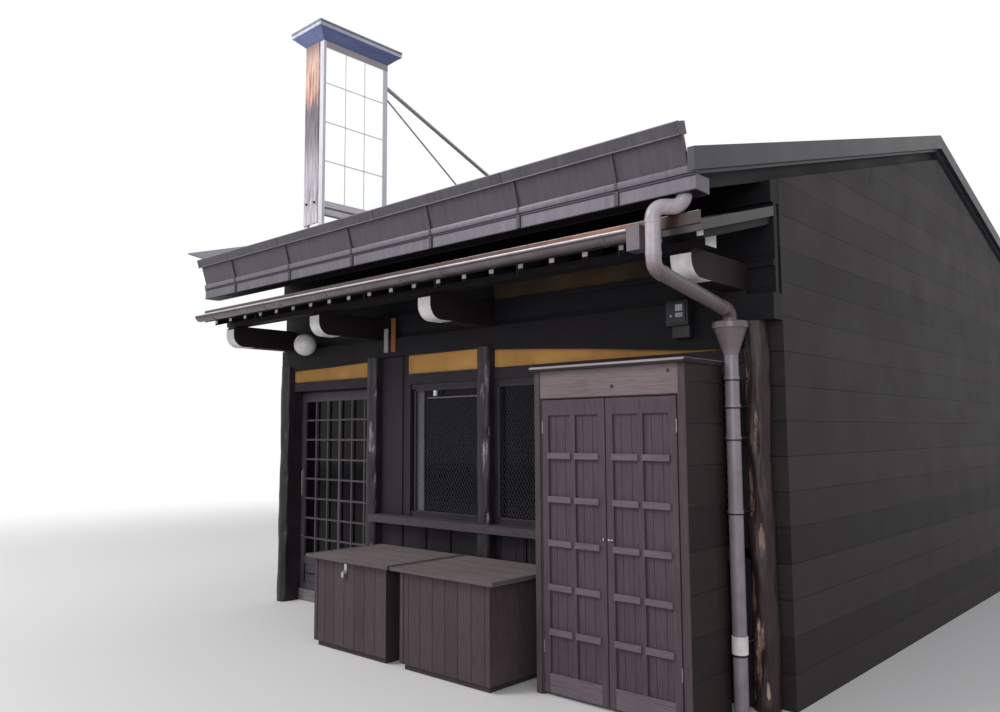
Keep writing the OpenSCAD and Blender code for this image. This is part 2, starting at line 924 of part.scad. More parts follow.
module tower_leg(x, y, depth) {
    difference() {
        box([x, y, eave_z], [x + tower_post, y + depth, tower_z]);
        under_roof(roof_left, roof_right, 0);
    }
}

module tower_frame() {
    inset = tower_post;
    rail_y0 = tower_y0 + tower_front_post;
    rail_y1 = tower_y1 - tower_post;
    color("#8a6a4c") {
        for (x = [tower_x0, tower_x1 - tower_post]) {
            tower_leg(x, tower_y0, tower_front_post);
            tower_leg(x, rail_y1, tower_post);
            for (z = [tower_panel_z - tower_rail, tower_z - tower_rail])
                box([x, rail_y0, z], [x + tower_post, rail_y1, z + tower_rail]);
        }
        for (y = [tower_y0, tower_y1 - tower_board])
            box([tower_x0 + inset, y, tower_panel_z - board_below], [tower_x1 - inset, y + tower_board, tower_z]);
    }
}

module tower_panels() {
    color(white)
        for (x = [tower_x0 + panel_inset, tower_x1 - panel_inset - panel_t])
            box([x, tower_y0 + tower_front_post, tower_panel_z],
                [x + panel_t, tower_y1 - tower_post, tower_z - tower_rail]);
}

// Cap: a coved underside that widens upward, an upright edge and a low hipped
// top. Two prisms with the same heights meet in the mitres and hips.
module tower_cap() {
    side_x = tower_w / 2;
    side_y = tower_d / 2;
    half_x = side_x + tower_over;
    half_y = side_y + tower_end_over;
    color(metal_dark)
        translate([tower_x, (tower_y0 + tower_y1) / 2, tower_z])
            intersection() {
                along_x(-half_x, half_x, [
                    [-side_y, 0], [side_y, 0], [half_y, cove_h], [half_y, cap_t],
                    [half_y * 0.6, cap_h], [-half_y * 0.6, cap_h], [-half_y, cap_t], [-half_y, cove_h]
                ]);
                along_y(-half_y, half_y, [
                    [-side_x, 0], [side_x, 0], [half_x, cove_h], [half_x, cap_t],
                    [half_x * 0.3, cap_h], [-half_x * 0.3, cap_h], [-half_x, cap_t], [-half_x, cove_h]
                ]);
            }
}

// Stays from the back of the tower to the roof
stay_in = 100;
stay_thick_r = 20;
stay_thin_r = 9;
stay_thick_drop = 186;
stay_thin_drop = 144;
stay_thick_y = -300;
stay_thin_y = -1200;

module tower_stays() {
    side_x = tower_x1 - stay_thick_r - 4;
    top_y = tower_y1 - stay_in;
    color(stain)
        difference() {
            union() {
                bar_between([side_x, top_y, tower_z - stay_thick_drop],
                    [side_x, stay_thick_y, roof_z(stay_thick_y) - 98], stay_thick_r);
                bar_between([tower_x, top_y, tower_z - stay_thin_drop],
                    [tower_x, stay_thin_y, roof_z(stay_thin_y) - 39], stay_thin_r);
            }
            box([tower_x0, tower_y1 - 2 * stay_in, eave_z], [tower_x1 + 50, tower_y1, tower_z]);
            under_roof(roof_left, roof_right, 0);
        }
}

// Things on the wall
lamp_from_post = 461;
lamp_x = post_xs[0] + lamp_from_post;
lamp_z = arm_z + 23;
lamp_r = 106;
lamp_arm = 160;

module globe_lamp() {
    color(white)
        translate([lamp_x, wall_y - board_t / 2, lamp_z]) {
            rotate([90, 0, 0]) cylinder(h = lamp_arm / 2, r = 16);
            rotate([90, 0, 0]) cylinder(h = 14, r = 22);
            translate([0, -lamp_arm, 0]) sphere(r = lamp_r);
        }
}

beam_front = wall_y - beam_t / 2;
meter_from_post = 460;
meter_x = post_xs[3] - meter_from_post;
meter_w = 160;
meter_d = 90;
meter_z = beam_z - 74;
meter_h = 241;

module meter_box() {
    color("#1f1d20")
        box([meter_x - meter_w / 2, beam_front - meter_d, meter_z],
            [meter_x + meter_w / 2, beam_front, meter_z + meter_h]);
}

plate_t = 12;
plate_w = 50;
plate_h = 210;
long_plate_w = 54;
long_plate_h = 296;
plate_x = post_xs[1] + arm_w / 2 + 75;
long_plate_x = plate_x + plate_w + 46;
plate_z = beam_z + 40;

module name_plate(x0, w, h) {
    box([x0, beam_front - plate_t, plate_z], [x0 + w, beam_front, plate_z + h]);
}

module name_plates() {
    color(weathered) name_plate(plate_x, plate_w, plate_h);
    color("#8c4a22") name_plate(long_plate_x, long_plate_w, long_plate_h);
}

// Storage cupboard
cup_x1 = half_w - cup_inset;
cup_x0 = cup_x1 - cup_w;
cup_over = 20;
shelf_front = wall_y - board_t / 2 - shelf_d;
cup_stand_off = 56;
cup_back = shelf_front - cup_stand_off;
cup_front = cup_back - cup_d;
cup_top_t = 24;
cup_door_z0 = 20;
cup_floor_z = 44;
cup_door_z1 = cup_h - cup_top_t - cup_head;

module cupboard_case() {
    color(stain_grey)
        difference() {
            union() {
                box([cup_x0, cup_front, 0], [cup_x1, cup_back, cup_h - cup_top_t]);
                box([cup_x0 - cup_over, cup_front - 2 * cup_over, cup_h - cup_top_t],
                    [cup_x1 + cup_over, cup_back, cup_h]);
            }
            box([cup_x0 + cup_t, cup_front + cup_t, cup_floor_z],
                [cup_x1 - cup_t, cup_back - cup_t, cup_h - cup_top_t - cup_t]);
            box([cup_x0 + cup_stile, cup_front - 1, -1],
                [cup_x1 - cup_stile, cup_front + cup_t + 1, cup_door_z1 + leaf_gap]);
            box([cup_x0 + cup_t, cup_front + cup_t, -1],
                [cup_x1 - cup_t, cup_back - cup_t, cup_floor_z - cup_t]);
        }
}

cup_leaf_w = (cup_w - 2 * cup_stile - 3 * leaf_gap) / 2;
leaf_stile = 50;
leaf_muntin = 36;
leaf_top = 98;
leaf_foot = 119;
leaf_depth = 9;
leaf_rows = 6;

module cupboard_leaf(x0) {
    x1 = x0 + cup_leaf_w;
    cell_w = (cup_leaf_w - 2 * leaf_stile - leaf_muntin) / 2;
    low = cup_door_z0 + leaf_foot;
    cell_h = (cup_door_z1 - leaf_top - low - (leaf_rows - 1) * leaf_muntin) / leaf_rows;
    color(stain_grey)
        difference() {
            box([x0, cup_front, cup_door_z0], [x1, cup_front + cup_door_t, cup_door_z1]);
            for (x = [x0 + leaf_stile, x1 - leaf_stile - cell_w])
                for (r = [0 : leaf_rows - 1])
                    box([x, cup_front - 1, low + r * (cell_h + leaf_muntin)],
                        [x + cell_w, cup_front + leaf_depth, low + r * (cell_h + leaf_muntin) + cell_h]);
        }
}

module cupboard_door_left() {
    cupboard_leaf(cup_x0 + cup_stile + leaf_gap);
}

module cupboard_door_right() {
    cupboard_leaf(cup_x0 + cup_stile + 2 * leaf_gap + cup_leaf_w);
}

// Storage chests with hinged lids
chest_back = shelf_front - 22;
chest_front = chest_back - chest_d;
plinth_h = 40;
plinth_in = 25;
box_top = chest_h - lid_t - leaf_gap;
chest_right_x = cup_x0 - chest_side_gap - lid_over - chest_w / 2;
chest_left_x = chest_right_x - chest_w - 2 * lid_over - chest_between;

module chest_box(x) {
    x0 = x - chest_w / 2;
    x1 = x + chest_w / 2;
    color(stain_grey)
        difference() {
            union() {
                box([x0 + plinth_in, chest_front + plinth_in, 0],
                    [x1 - plinth_in, chest_back - plinth_in, plinth_h]);
                box([x0, chest_front, plinth_h], [x1, chest_back, box_top]);
            }
            box([x0 + chest_t, chest_front + chest_t, plinth_h + chest_t],
                [x1 - chest_t, chest_back - chest_t, box_top + 1]);
            box([x0 + plinth_in + chest_t, chest_front + plinth_in + chest_t, -1],
                [x1 - plinth_in - chest_t, chest_back - plinth_in - chest_t, plinth_h]);
        }
}

module chest_lid(x) {
    color(stain_grey)
        box([x - chest_w / 2 - lid_over, chest_front - lid_nose, chest_h - lid_t],
            [x + chest_w / 2 + lid_over, chest_back, chest_h]);
}

module chest_left_box() {
    chest_box(chest_left_x);
}

module chest_right_box() {
    chest_box(chest_right_x);
}

module chest_left_lid() {
    chest_lid(chest_left_x);
}

module chest_right_lid() {
    chest_lid(chest_right_x);
}

ground_floor();
party_wall_left();
party_wall_right();
log_posts();
wall_beams();
lintels();
plaster_bands();
upper_walls();
roof_beams();
wall_boards();
shelf_plank();
window_frames();
window_glass();
door_sill();
door_head_track();
lattice_door();
bracket_arms();
pent_purlin();
pent_rafters();
pent_roof();
pent_gutter();
downpipe_upper();
downpipe_lower();
roof_rafters();
roof_front();
roof_back();
ridge_cap();
eave_boxes();
snow_board();
verge_right();
verge_curb_left();
tower_frame();
tower_panels();
tower_cap();
tower_stays();
globe_lamp();
meter_box();
name_plates();
cupboard_case();
cupboard_door_left();
cupboard_door_right();
chest_left_box();
chest_right_box();
chest_left_lid();
chest_right_lid();
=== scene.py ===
"""Dresses the townhouse's frame: finishes for every solid, and the fine parts that stand on them."""
import math
from functools import partial

import bmesh
import bpy
from mathutils import Matrix, Vector, noise


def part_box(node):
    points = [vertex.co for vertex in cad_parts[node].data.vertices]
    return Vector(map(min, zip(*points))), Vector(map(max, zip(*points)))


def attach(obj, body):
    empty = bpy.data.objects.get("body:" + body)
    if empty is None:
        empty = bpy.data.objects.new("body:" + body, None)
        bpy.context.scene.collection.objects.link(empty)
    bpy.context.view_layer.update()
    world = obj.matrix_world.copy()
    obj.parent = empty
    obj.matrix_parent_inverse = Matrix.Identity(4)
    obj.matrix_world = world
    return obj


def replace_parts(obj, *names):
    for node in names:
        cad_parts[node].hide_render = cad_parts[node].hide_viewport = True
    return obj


bl_info = {
    "name": "Townhouse Dressing",
    "version": (1, 0, 0),
    "blender": (4, 5, 0),
    "location": "View3D > Sidebar > Townhouse",
    "description": "Gives a timber townhouse its finishes, screens, seams and fittings",
    "category": "Object",
}

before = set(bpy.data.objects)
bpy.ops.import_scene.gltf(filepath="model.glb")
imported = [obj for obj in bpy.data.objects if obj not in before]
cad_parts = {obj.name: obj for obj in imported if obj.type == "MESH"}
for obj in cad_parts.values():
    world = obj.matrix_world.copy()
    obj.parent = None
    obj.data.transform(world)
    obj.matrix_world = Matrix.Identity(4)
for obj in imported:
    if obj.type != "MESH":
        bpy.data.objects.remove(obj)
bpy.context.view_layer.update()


# Sizes taken from the frame, in metres

POST_Y = -3.544
POST_XS = (-2.491, -1.126, 0.239, 2.450)
POST_FORWARD = (0.045, 0.045, 0.045, 0.0)
BEAM_FRONT = -3.604
BEAM_FOOT = 2.286
BOARD_FRONT = -3.564
WAINSCOT_TOP = 0.862
LINTEL_FOOT = 2.035
ARM_XS = (-2.491, -1.126, 0.239, 2.360)
ARM_LIFT = (0.0, 0.0, 0.0, 0.030)
ROOF_XS = (-2.508, 2.603)
RISE = math.tan(math.radians(15.5))
EAVE_Y, EAVE_Z = 4.480, 3.000
PENT_EDGE_Y, PENT_EDGE_LOW = -4.450, 2.621


def roof_top(y):
    """Height of the main roof's sheet."""
    return EAVE_Z + RISE * (EAVE_Y - abs(y))


def pent_low(y):
    """Height of the pent roof's underside."""
    return PENT_EDGE_LOW + RISE * (y - PENT_EDGE_Y)


def mm(base, first, last):
    """The span between two places that are so many millimetres from base."""
    return base + first / 1000, base + last / 1000


def about(middle, reach):
    """The span that reaches so many millimetres to both sides of the middle."""
    return mm(middle, -reach, reach)


def within(low, high, inset):
    """The span that stays so many millimetres inside low and high."""
    return low + inset / 1000, high - inset / 1000


# Colours and nodes


def colour(hex_code):
    """Linear RGBA of an sRGB hex value."""
    parts = [int(hex_code[i:i + 2], 16) / 255 for i in (1, 3, 5)]
    return tuple(c / 12.92 if c <= 0.04045 else ((c + 0.055) / 1.055) ** 2.4 for c in parts) + (1.0,)


def add_node(tree, kind, sets=None, stops=(), out=0, **inputs):
    """Adds a node and gives one of its outputs.

    kind may leave out ShaderNode, and may name an operation after a space. sets
    are attributes, stops a ramp's marks of (place, hex), and inputs the values or
    sockets that feed it, by name or by number, such as i0.
    """
    kind, _, operation = kind.partition(" ")
    node = tree.nodes.new(kind if "Node" in kind else "ShaderNode" + kind)
    if operation:
        node.operation = operation
    for key, value in (sets or {}).items():
        setattr(node, key, value)
    for key, value in inputs.items():
        socket = node.inputs[int(key[1:]) if key[1:].isdigit() else key.replace("_", " ")]
        if isinstance(value, bpy.types.NodeSocket):
            tree.links.new(value, socket)
        else:
            socket.default_value = value
    if stops:
        marks = node.color_ramp.elements
        for mark, (place, code) in zip(marks, (stops[0], stops[-1])):
            mark.position, mark.color = place, colour(code)
        for place, code in stops[1:-1]:
            marks.new(place).color = colour(code)
    return node.outputs[out] if node.outputs else None


def emptied(owner):
    """Empties a material's or world's nodes and gives the function that adds new ones."""
    owner.use_nodes = True
    owner.node_tree.nodes.clear()
    return partial(add_node, owner.node_tree)


finishes = {}


def finish(recipe):
    """Turns a recipe into a finish that is made once for each name.

    The recipe adds nodes that read the place on the object, and gives the shader's
    inputs. weather is an axis, its lowest and highest place and the marks of a ramp
    between them, by which the finish's colour is multiplied.
    """
    def named(name, *shades, weather=None, **settings):
        if name in finishes:
            return finishes[name]
        finishes[name] = material = bpy.data.materials.new(name)
        add = emptied(material)
        place = add("TexCoord", out="Object")
        inputs = recipe(add, place, *shades, **settings)
        if weather:
            axis, low, high, *stops = weather
            along = add("MapRange", Value=add("SeparateXYZ", out=axis, Vector=place),
                        From_Min=low, From_Max=high)
            inputs["Base_Color"] = add("Mix", {"data_type": "RGBA", "blend_type": "MULTIPLY"}, out=2,
                                       Factor=1.0, i6=inputs["Base_Color"],
                                       i7=add("ValToRGB", stops=stops, Fac=along))
        add("OutputMaterial", Surface=add("BsdfPrincipled", **inputs))
        return material
    return named


@finish
def timber(add, place, along, dark, light, board=None, rough=0.62, joint="#0c090a", vary=0.34):
    """Sawn softwood with a brown preservative stain.

    The fibres give fine streaks along the board, the stain lies unevenly, and
    each board of a wall takes it a little differently. along is the axis of the
    grain; board is the axis across the boards, their width and their start;
    joint is the colour of the gap between boards and vary how unlike they are.
    """
    stretch = [1.0, 1.0, 1.0]
    stretch["XYZ".index(along)] = 0.045
    # Streaks 6 mm wide, about as wide as one growth ring
    streaks = add("TexNoise", Vector=add("Mapping", Vector=place, Scale=stretch),
                  Scale=1.0 / 0.006, Detail=5.0, Roughness=0.62, Distortion=0.25)
    # Patches of stain about 0.4 m across
    patches = add("TexNoise", Vector=place, Scale=2.4, Detail=3.0, Roughness=0.55)
    tone = 0.35
    mixed = add("Math MULTIPLY_ADD", i0=patches, i1=tone, i2=streaks)
    level = add("Math SUBTRACT", i0=mixed, i1=tone / 2)
    height = streaks
    if board:
        axis, width, start = board
        across = add("Math SUBTRACT", i0=add("SeparateXYZ", out=axis, Vector=place), i1=start)
        count = add("Math DIVIDE", i0=across, i1=width)
        chance = add("TexWhiteNoise", {"noise_dimensions": "1D"}, W=add("Math FLOOR", i0=count))
        level = add("Math MULTIPLY_ADD", i0=chance, i1=vary, i2=level)
        level = add("Math SUBTRACT", i0=level, i1=vary / 2)
        # The groove between two boards is 4 mm wide and fades over another 4 mm on each side
        middle = add("Math SUBTRACT", i0=add("Math FRACT", i0=count), i1=0.5)
        groove = add("MapRange", Value=add("Math ABSOLUTE", i0=middle),
                     From_Min=0.5 - 0.006 / width, From_Max=0.5 - 0.002 / width, To_Min=1.0, To_Max=0.0)
        height = add("Math MULTIPLY_ADD", i0=height, i1=0.3, i2=groove)
    tint = add("ValToRGB", stops=((0.22, dark), (0.78, light)), Fac=level)
    if board:
        tint = add("Mix", {"data_type": "RGBA"}, out=2, Factor=groove, i6=colour(joint), i7=tint)
    return dict(Base_Color=tint, Specular_IOR_Level=0.22,
                Roughness=add("MapRange", Value=patches, To_Min=rough - 0.1, To_Max=rough + 0.14),
                Normal=add("Bump", Height=height, Strength=0.25, Distance=0.004))


@finish
def sheet_steel(add, place, dark, light, rough=0.42):
    """Roof sheet: coil-painted steel, folded on site. Rain leaves faint streaks
    down the slope, and the thin sheet isn't quite flat."""
    # Streaks about 45 mm wide that run down the slope
    streaks = add("TexNoise", Vector=add("Mapping", Vector=place, Scale=(1.0, 0.12, 0.12)),
                  Scale=22.0, Detail=4.0, Roughness=0.6)
    # Buckles about 0.35 m across, and specks of dust of about 7 mm
    buckles = add("TexNoise", Vector=place, Scale=2.8, Detail=1.0)
    dust = add("TexNoise", Vector=place, Scale=140.0, Detail=3.0)
    level = add("Math MULTIPLY_ADD", i0=dust, i1=0.25, i2=streaks)
    return dict(Base_Color=add("ValToRGB", stops=((0.38, dark), (0.88, light)), Fac=level), Metallic=0.25,
                Roughness=add("MapRange", Value=streaks, To_Min=rough - 0.08, To_Max=rough + 0.14),
                Normal=add("Bump", Height=buckles, Strength=0.35, Distance=0.02))


@finish
def rigid_plastic(add, place, dark, light, rough=0.38, speck=60.0, relief=0.06, **more):
    """Extruded or moulded rigid plastic and gloss paint, dulled by dust in soft
    patches about 0.15 m across. more are further inputs of the shader."""
    patches = add("TexNoise", Vector=place, Scale=7.0, Detail=5.0, Roughness=0.6)
    fine = add("TexNoise", Vector=place, Scale=speck, Detail=3.0)
    return dict(more, Base_Color=add("ValToRGB", stops=((0.3, dark), (0.72, light)), Fac=patches),
                Roughness=add("MapRange", Value=patches, To_Min=rough - 0.08, To_Max=rough + 0.12),
                Normal=add("Bump", Height=fine, Strength=relief, Distance=0.002))


@finish
def earth_plaster(add, place, dark, light):
    """Trowelled earth plaster: fine sand and chopped straw, quite matt."""
    clouds = add("TexNoise", Vector=place, Scale=3.5, Detail=4.0, Roughness=0.5)
    # Sand grains, drawn 3 mm wide so that they show
    sand = add("TexNoise", Vector=place, Scale=330.0, Detail=2.0)
    level = add("Math MULTIPLY_ADD", i0=sand, i1=0.3, i2=clouds)
    return dict(Base_Color=add("ValToRGB", stops=((0.4, dark), (0.95, light)), Fac=level),
                Normal=add("Bump", Height=sand, Strength=0.4, Distance=0.002),
                Roughness=0.92, Specular_IOR_Level=0.2)


@finish
def drawn_glass(add, place):
    """Window glass, a little wavy, with smears of dust. Its near-black colour is painted
    shade and painted reflection: the dim room behind and the dark street that the panes
    mirror. Its IOR is below real glass, because the panes mirror a dark street in daylight."""
    # Smears of dust about 0.1 m wide, and waves about 0.3 m long
    film = add("TexNoise", Vector=place, Scale=9.0, Detail=5.0)
    wave = add("TexNoise", Vector=place, Scale=3.0, Detail=1.0)
    return dict(Base_Color=add("ValToRGB", stops=((0.3, "#141317"), (0.75, "#232227")), Fac=film),
                Roughness=add("MapRange", Value=film, To_Min=0.02, To_Max=0.12),
                Normal=add("Bump", Height=wave, Strength=0.05, Distance=0.01),
                Transmission_Weight=0.8, IOR=1.2, Specular_IOR_Level=0.2)


@finish
def metal(add, place, dark, light, rough=0.4, metallic=0.9):
    """Small ironmongery: rolled or cast metal with handling marks of about 10 mm."""
    marks = add("TexNoise", Vector=place, Scale=90.0, Detail=5.0, Roughness=0.65)
    return dict(Base_Color=add("ValToRGB", stops=((0.3, dark), (0.7, light)), Fac=marks),
                Roughness=add("MapRange", Value=marks, To_Min=rough - 0.12, To_Max=rough + 0.18),
                Metallic=metallic)


@finish
def sun_bleached_pine(add, place):
    """The tower's front board: pine that is still orange under its cap and has
    weathered to silver grey where rain reaches it."""
    # Streaks of grain about 15 mm wide
    streaks = add("TexNoise", Vector=add("Mapping", Vector=place, Scale=(1.0, 1.0, 0.05)),
                  Scale=70.0, Detail=5.0, Roughness=0.6)
    shifted = add("Math MULTIPLY_ADD", i0=streaks, i1=0.7,
                  i2=add("SeparateXYZ", out="Z", Vector=place))
    height = add("MapRange", Value=shifted, From_Min=4.0, From_Max=5.7)
    tone = add("ValToRGB", Fac=height, stops=(
        (0.0, "#d8d4da"), (0.30, "#c4bfc7"), (0.44, "#8f8992"), (0.62, "#7d767f"), (0.70, "#d9ab96"),
        (0.92, "#e6c2b0"), (1.0, "#8d7476")))
    shade = add("ValToRGB", stops=((0.36, "#8a858a"), (0.60, "#ffffff")), Fac=streaks)
    return dict(Base_Color=add("Mix", {"data_type": "RGBA", "blend_type": "MULTIPLY"}, out=2,
                               Factor=1.0, i6=tone, i7=shade),
                Normal=add("Bump", Height=streaks, Strength=0.3, Distance=0.003), Roughness=0.72)


@finish
def peeled_log(add, place):
    """Log posts: bark peeled by hand and stained. Pale marks from the mesh's own attribute sit in
    hollows: partly scars where knots have lost the stain, partly painted highlights on the glossy log."""
    # Streaks about 9 mm wide along the log, and patches of about 0.17 m
    streaks = add("TexNoise", Vector=add("Mapping", Vector=place, Scale=(1.0, 1.0, 0.07)),
                  Scale=110.0, Detail=5.0, Roughness=0.6)
    patches = add("TexNoise", Vector=place, Scale=6.0, Detail=4.0)
    level = add("Math MULTIPLY_ADD", i0=patches, i1=0.6, i2=streaks)
    # The right corner post is browner. The pale marks are orange on it and silver on the others:
    # partly bare sapwood, partly painted highlight.
    corner = add("Math GREATER_THAN", i0=add("SeparateXYZ", out="X", Vector=place), i1=1.5)
    body, bare = (
        add("Mix", {"data_type": "RGBA"}, out=2, Factor=corner,
            i6=add("ValToRGB", stops=others, Fac=source), i7=add("ValToRGB", stops=last, Fac=source))
        for source, others, last in (
            (level, ((0.5, "#100d12"), (1.05, "#302a30")), ((0.5, "#150e0e"), (1.05, "#382827"))),
            (patches, ((0.35, "#5e575d"), (0.68, "#9b9399")), ((0.35, "#5c463d"), (0.68, "#b79a8a")))))
    # The pale marks' edge, of bare wood and painted highlight alike, is torn along the fibres,
    # in tears about 20 mm wide
    fray = add("TexNoise", Vector=add("Mapping", Vector=place, Scale=(1.0, 1.0, 0.16)),
               Scale=46.0, Detail=6.0, Roughness=0.72)
    scar = add("Attribute", {"attribute_name": "scar"}, out="Fac")
    edge = add("MapRange", Value=add("Math ADD", i0=scar, i1=fray), From_Min=0.98, From_Max=1.12)
    return dict(Base_Color=add("Mix", {"data_type": "RGBA"}, out=2, Factor=edge, i6=body, i7=bare),
                Normal=add("Bump", Height=streaks, Strength=0.4, Distance=0.004),
                Roughness=0.4, Specular_IOR_Level=0.3)


def stained(along):
    """Beams, boards and rafters: the near-black brown stain of the whole front."""
    return timber("stained cedar " + along, along, "#09070b", "#1a151b")


def white_paint():
    """Brushed white paint on end grain, chalky with age."""
    return rigid_plastic("chalked white paint", "#b9b6b5", "#e4e2df", rough=0.62, speck=260.0, relief=0.3)


def lit_acrylic():
    """The tower's milk-white sheets. Their emission is a painted glow that stands in for the
    daylight shining through from the far side.
    """
    return rigid_plastic("milk white acrylic sheet", "#f2f3f3", "#fbfcfb", rough=0.3,
                         Emission_Color=colour("#f4f6f8"), Emission_Strength=0.5)


def opal_globe():
    """Blown opal glass, evenly white and glossy."""
    return rigid_plastic("opal globe", "#c9c7c5", "#e6e4e2", rough=0.25)


def black_case():
    """Black moulded plastic, dusty and half matt."""
    return rigid_plastic("black moulded case", "#1a181b", "#2b292d", rough=0.45)


def gutter_pvc():
    """Rainwater goods of mauve-brown rigid plastic. The ramp along Z paints the eave's shade:
    full colour above the eave, darker below it, darkest on the slanting run and the hopper."""
    return rigid_plastic("mauve brown pvc", "#8f858b", "#aca2a9", rough=0.36, Coat_Weight=0.15, weather=(
        "Z", 0.0, 2.9, (0.0, "#cac6c9"), (0.70, "#cac6c9"), (0.73, "#a29896"), (0.80, "#9a8f8c"),
        (0.85, "#a09593"), (0.89, "#ffffff"), (1.0, "#ffffff")))


def drip_edge():
    """The pent roof's painted drip edge: maroon, with a painted highlight of bright russet
    just left of the downpipe, which the ramp along X puts there.
    """
    return rigid_plastic(
        "russet painted drip edge", "#8a5a48", "#b07a60", rough=0.26, Coat_Weight=0.3,
        weather=("X", -2.6, 2.6, (0.0, "#4a4347"), (0.50, "#594c4e"), (0.74, "#806c6a"), (0.90, "#d9c3b8"),
                 (0.955, "#4a4446"), (1.0, "#474143")))


def gutter_brown():
    """The pent roof's gutter, glossier than the pipes."""
    return rigid_plastic("brown pvc gutter", "#473d43", "#63595f", rough=0.3, Coat_Weight=0.2)


def roof_steel():
    """The sheet of both slopes and the snow board."""
    return sheet_steel("coil painted steel sheet", "#403c44", "#524d57")


def trim_steel():
    """Folded edge strips of the same sheet, painted lighter: a painted highlight for the
    light they catch.
    """
    return sheet_steel("folded steel trim", "#514c57", "#67626d")


def cap_steel():
    """The tower's cap: blue-grey sheet, its colour greyed above about 5.44 m by the ramp along Z."""
    return sheet_steel("blue grey steel cap", "#6b75a3", "#8089b4", weather=(
        "Z", 5.34, 5.51, (0.0, "#ffffff"), (0.55, "#ffffff"), (0.60, "#9d9a90"), (1.0, "#9d9a90")))


def dark_iron():
    """Blackened wrought iron, nearly matt."""
    return metal("blackened iron", "#1a1718", "#3a3536", rough=0.5)


def bright_steel():
    """Zinc-plated steel, bright and only a little scuffed."""
    return metal("zinc plated steel", "#9a9a9c", "#cfcfd0", rough=0.32, metallic=1.0)


# Meshes


class Form:
    """A mesh that is put together from blocks, tubes and skins, and ends as a piece."""

    def __init__(self):
        self.bm = bmesh.new()

    def block(self, xs, ys, zs, bevel=0.0, turn=None):
        """Adds a box between two places on each axis; turn is a matrix that it is placed by."""
        low, high = (Vector(corner) for corner in zip(*(sorted(span) for span in (xs, ys, zs))))
        place = Matrix.Translation((low + high) / 2) @ Matrix.Diagonal(high - low).to_4x4()
        verts = bmesh.ops.create_cube(self.bm, size=1.0, matrix=place)["verts"]
        if bevel:
            edges = list({e for v in verts for e in v.link_edges})
            made = bmesh.ops.bevel(self.bm, geom=edges, offset=bevel, offset_type="OFFSET", segments=2,
                                   profile=0.6, affect="EDGES", clamp_overlap=True)
            verts = list({v for f in made["faces"] for v in f.verts} | {v for v in verts if v.is_valid})
        if turn is not None:
            bmesh.ops.transform(self.bm, matrix=turn, verts=verts)
        return self

    def skin(self, rings):
        """Adds a skin over rings of points, closed at both ends, and gives its vertices."""
        rings = [[self.bm.verts.new(point) for point in ring] for ring in rings]
        for one, two in zip(rings, rings[1:]):
            for k in range(len(one)):
                j = (k + 1) % len(one)
                self.bm.faces.new((one[k], one[j], two[j], two[k]))
        self.bm.faces.new(rings[0][::-1])
        self.bm.faces.new(rings[-1])
        return [vert for ring in rings for vert in ring]

    def prism(self, axis, ends, outline):
        """Adds a prism along X (axis 0) or Y (axis 1); outline has the two other coordinates."""
        self.skin([[point[:axis] + (end,) + point[axis:] for point in outline] for end in ends])
        return self

    def tube(self, points, radius, sides=14):
        """Adds a round tube along points; radius is a number or one for each point."""
        points = [Vector(point) for point in points]
        radii = radius if isinstance(radius, (list, tuple)) else [radius] * len(points)
        rings, side = [], None
        for i, point in enumerate(points):
            run = (points[min(i + 1, len(points) - 1)] - points[max(i - 1, 0)]).normalized()
            side = run.orthogonal() if side is None else side
            side = (side - run * side.dot(run)).normalized()
            other = run.cross(side)
            rings.append([point + radii[i] * (side * math.cos(a) + other * math.sin(a))
                          for a in (2 * math.pi * k / sides for k in range(sides))])
        self.skin(rings)
        return self

    def piece(self, name, material, slot="stained_timber", body="house", smooth=None, row=None):
        """Makes the form an object that rides on a body.

        smooth is the angle in degrees from which edges stay sharp. row is how often
        and how far apart along X geometry nodes repeat the form.
        """
        bmesh.ops.recalc_face_normals(self.bm, faces=self.bm.faces)
        mesh = bpy.data.meshes.new(name)
        self.bm.to_mesh(mesh)
        self.bm.free()
        mesh.materials.append(material)
        thing = bpy.data.objects.new(name, mesh)
        bpy.context.scene.collection.objects.link(thing)
        if row:
            rows = thing.modifiers.new("Row", "NODES")
            rows.node_group = row_tree()
            inputs = {s.name: s.identifier for s in rows.node_group.interface.items_tree
                      if s.item_type == "SOCKET" and s.in_out == "INPUT"}
            for label, value in (("Count", row[0]), ("Step", (row[1], 0, 0)), ("Finish", material)):
                rows[inputs[label]] = value
            view = bpy.context.evaluated_depsgraph_get()
            mesh = bpy.data.meshes.new_from_object(thing.evaluated_get(view))
            thing.modifiers.clear()
            thing.data = mesh
            mesh.name = name
            if not mesh.polygons:
                raise RuntimeError("no parts were made for " + name)
        if smooth is not None:
            for face in mesh.polygons:
                face.use_smooth = True
            mesh.set_sharp_from_angle(angle=math.radians(smooth))
        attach(thing, body)
        return thing


def row_tree():
    """Geometry nodes that repeat a part in a row."""
    name = "Row of parts"
    if name in bpy.data.node_groups:
        return bpy.data.node_groups[name]
    tree = bpy.data.node_groups.new(name, "GeometryNodeTree")
    for label, kind in (("Part", "Geometry"), ("Count", "Int"), ("Step", "Vector"), ("Finish", "Material")):
        tree.interface.new_socket(label, in_out="INPUT", socket_type="NodeSocket" + kind)
    tree.interface.new_socket("Parts", in_out="OUTPUT", socket_type="NodeSocketGeometry")
    add = partial(add_node, tree)
    source = add("NodeGroupInput").node.outputs
    points = add("GeometryNodeMeshLine", {"mode": "OFFSET"}, Count=source["Count"], Offset=source["Step"])
    copies = add("GeometryNodeInstanceOnPoints", Points=points, Instance=source["Part"])
    real = add("GeometryNodeRealizeInstances", Geometry=copies)
    add("NodeGroupOutput",
        Parts=add("GeometryNodeSetMaterial", Geometry=real, Material=source["Finish"]))
    return tree


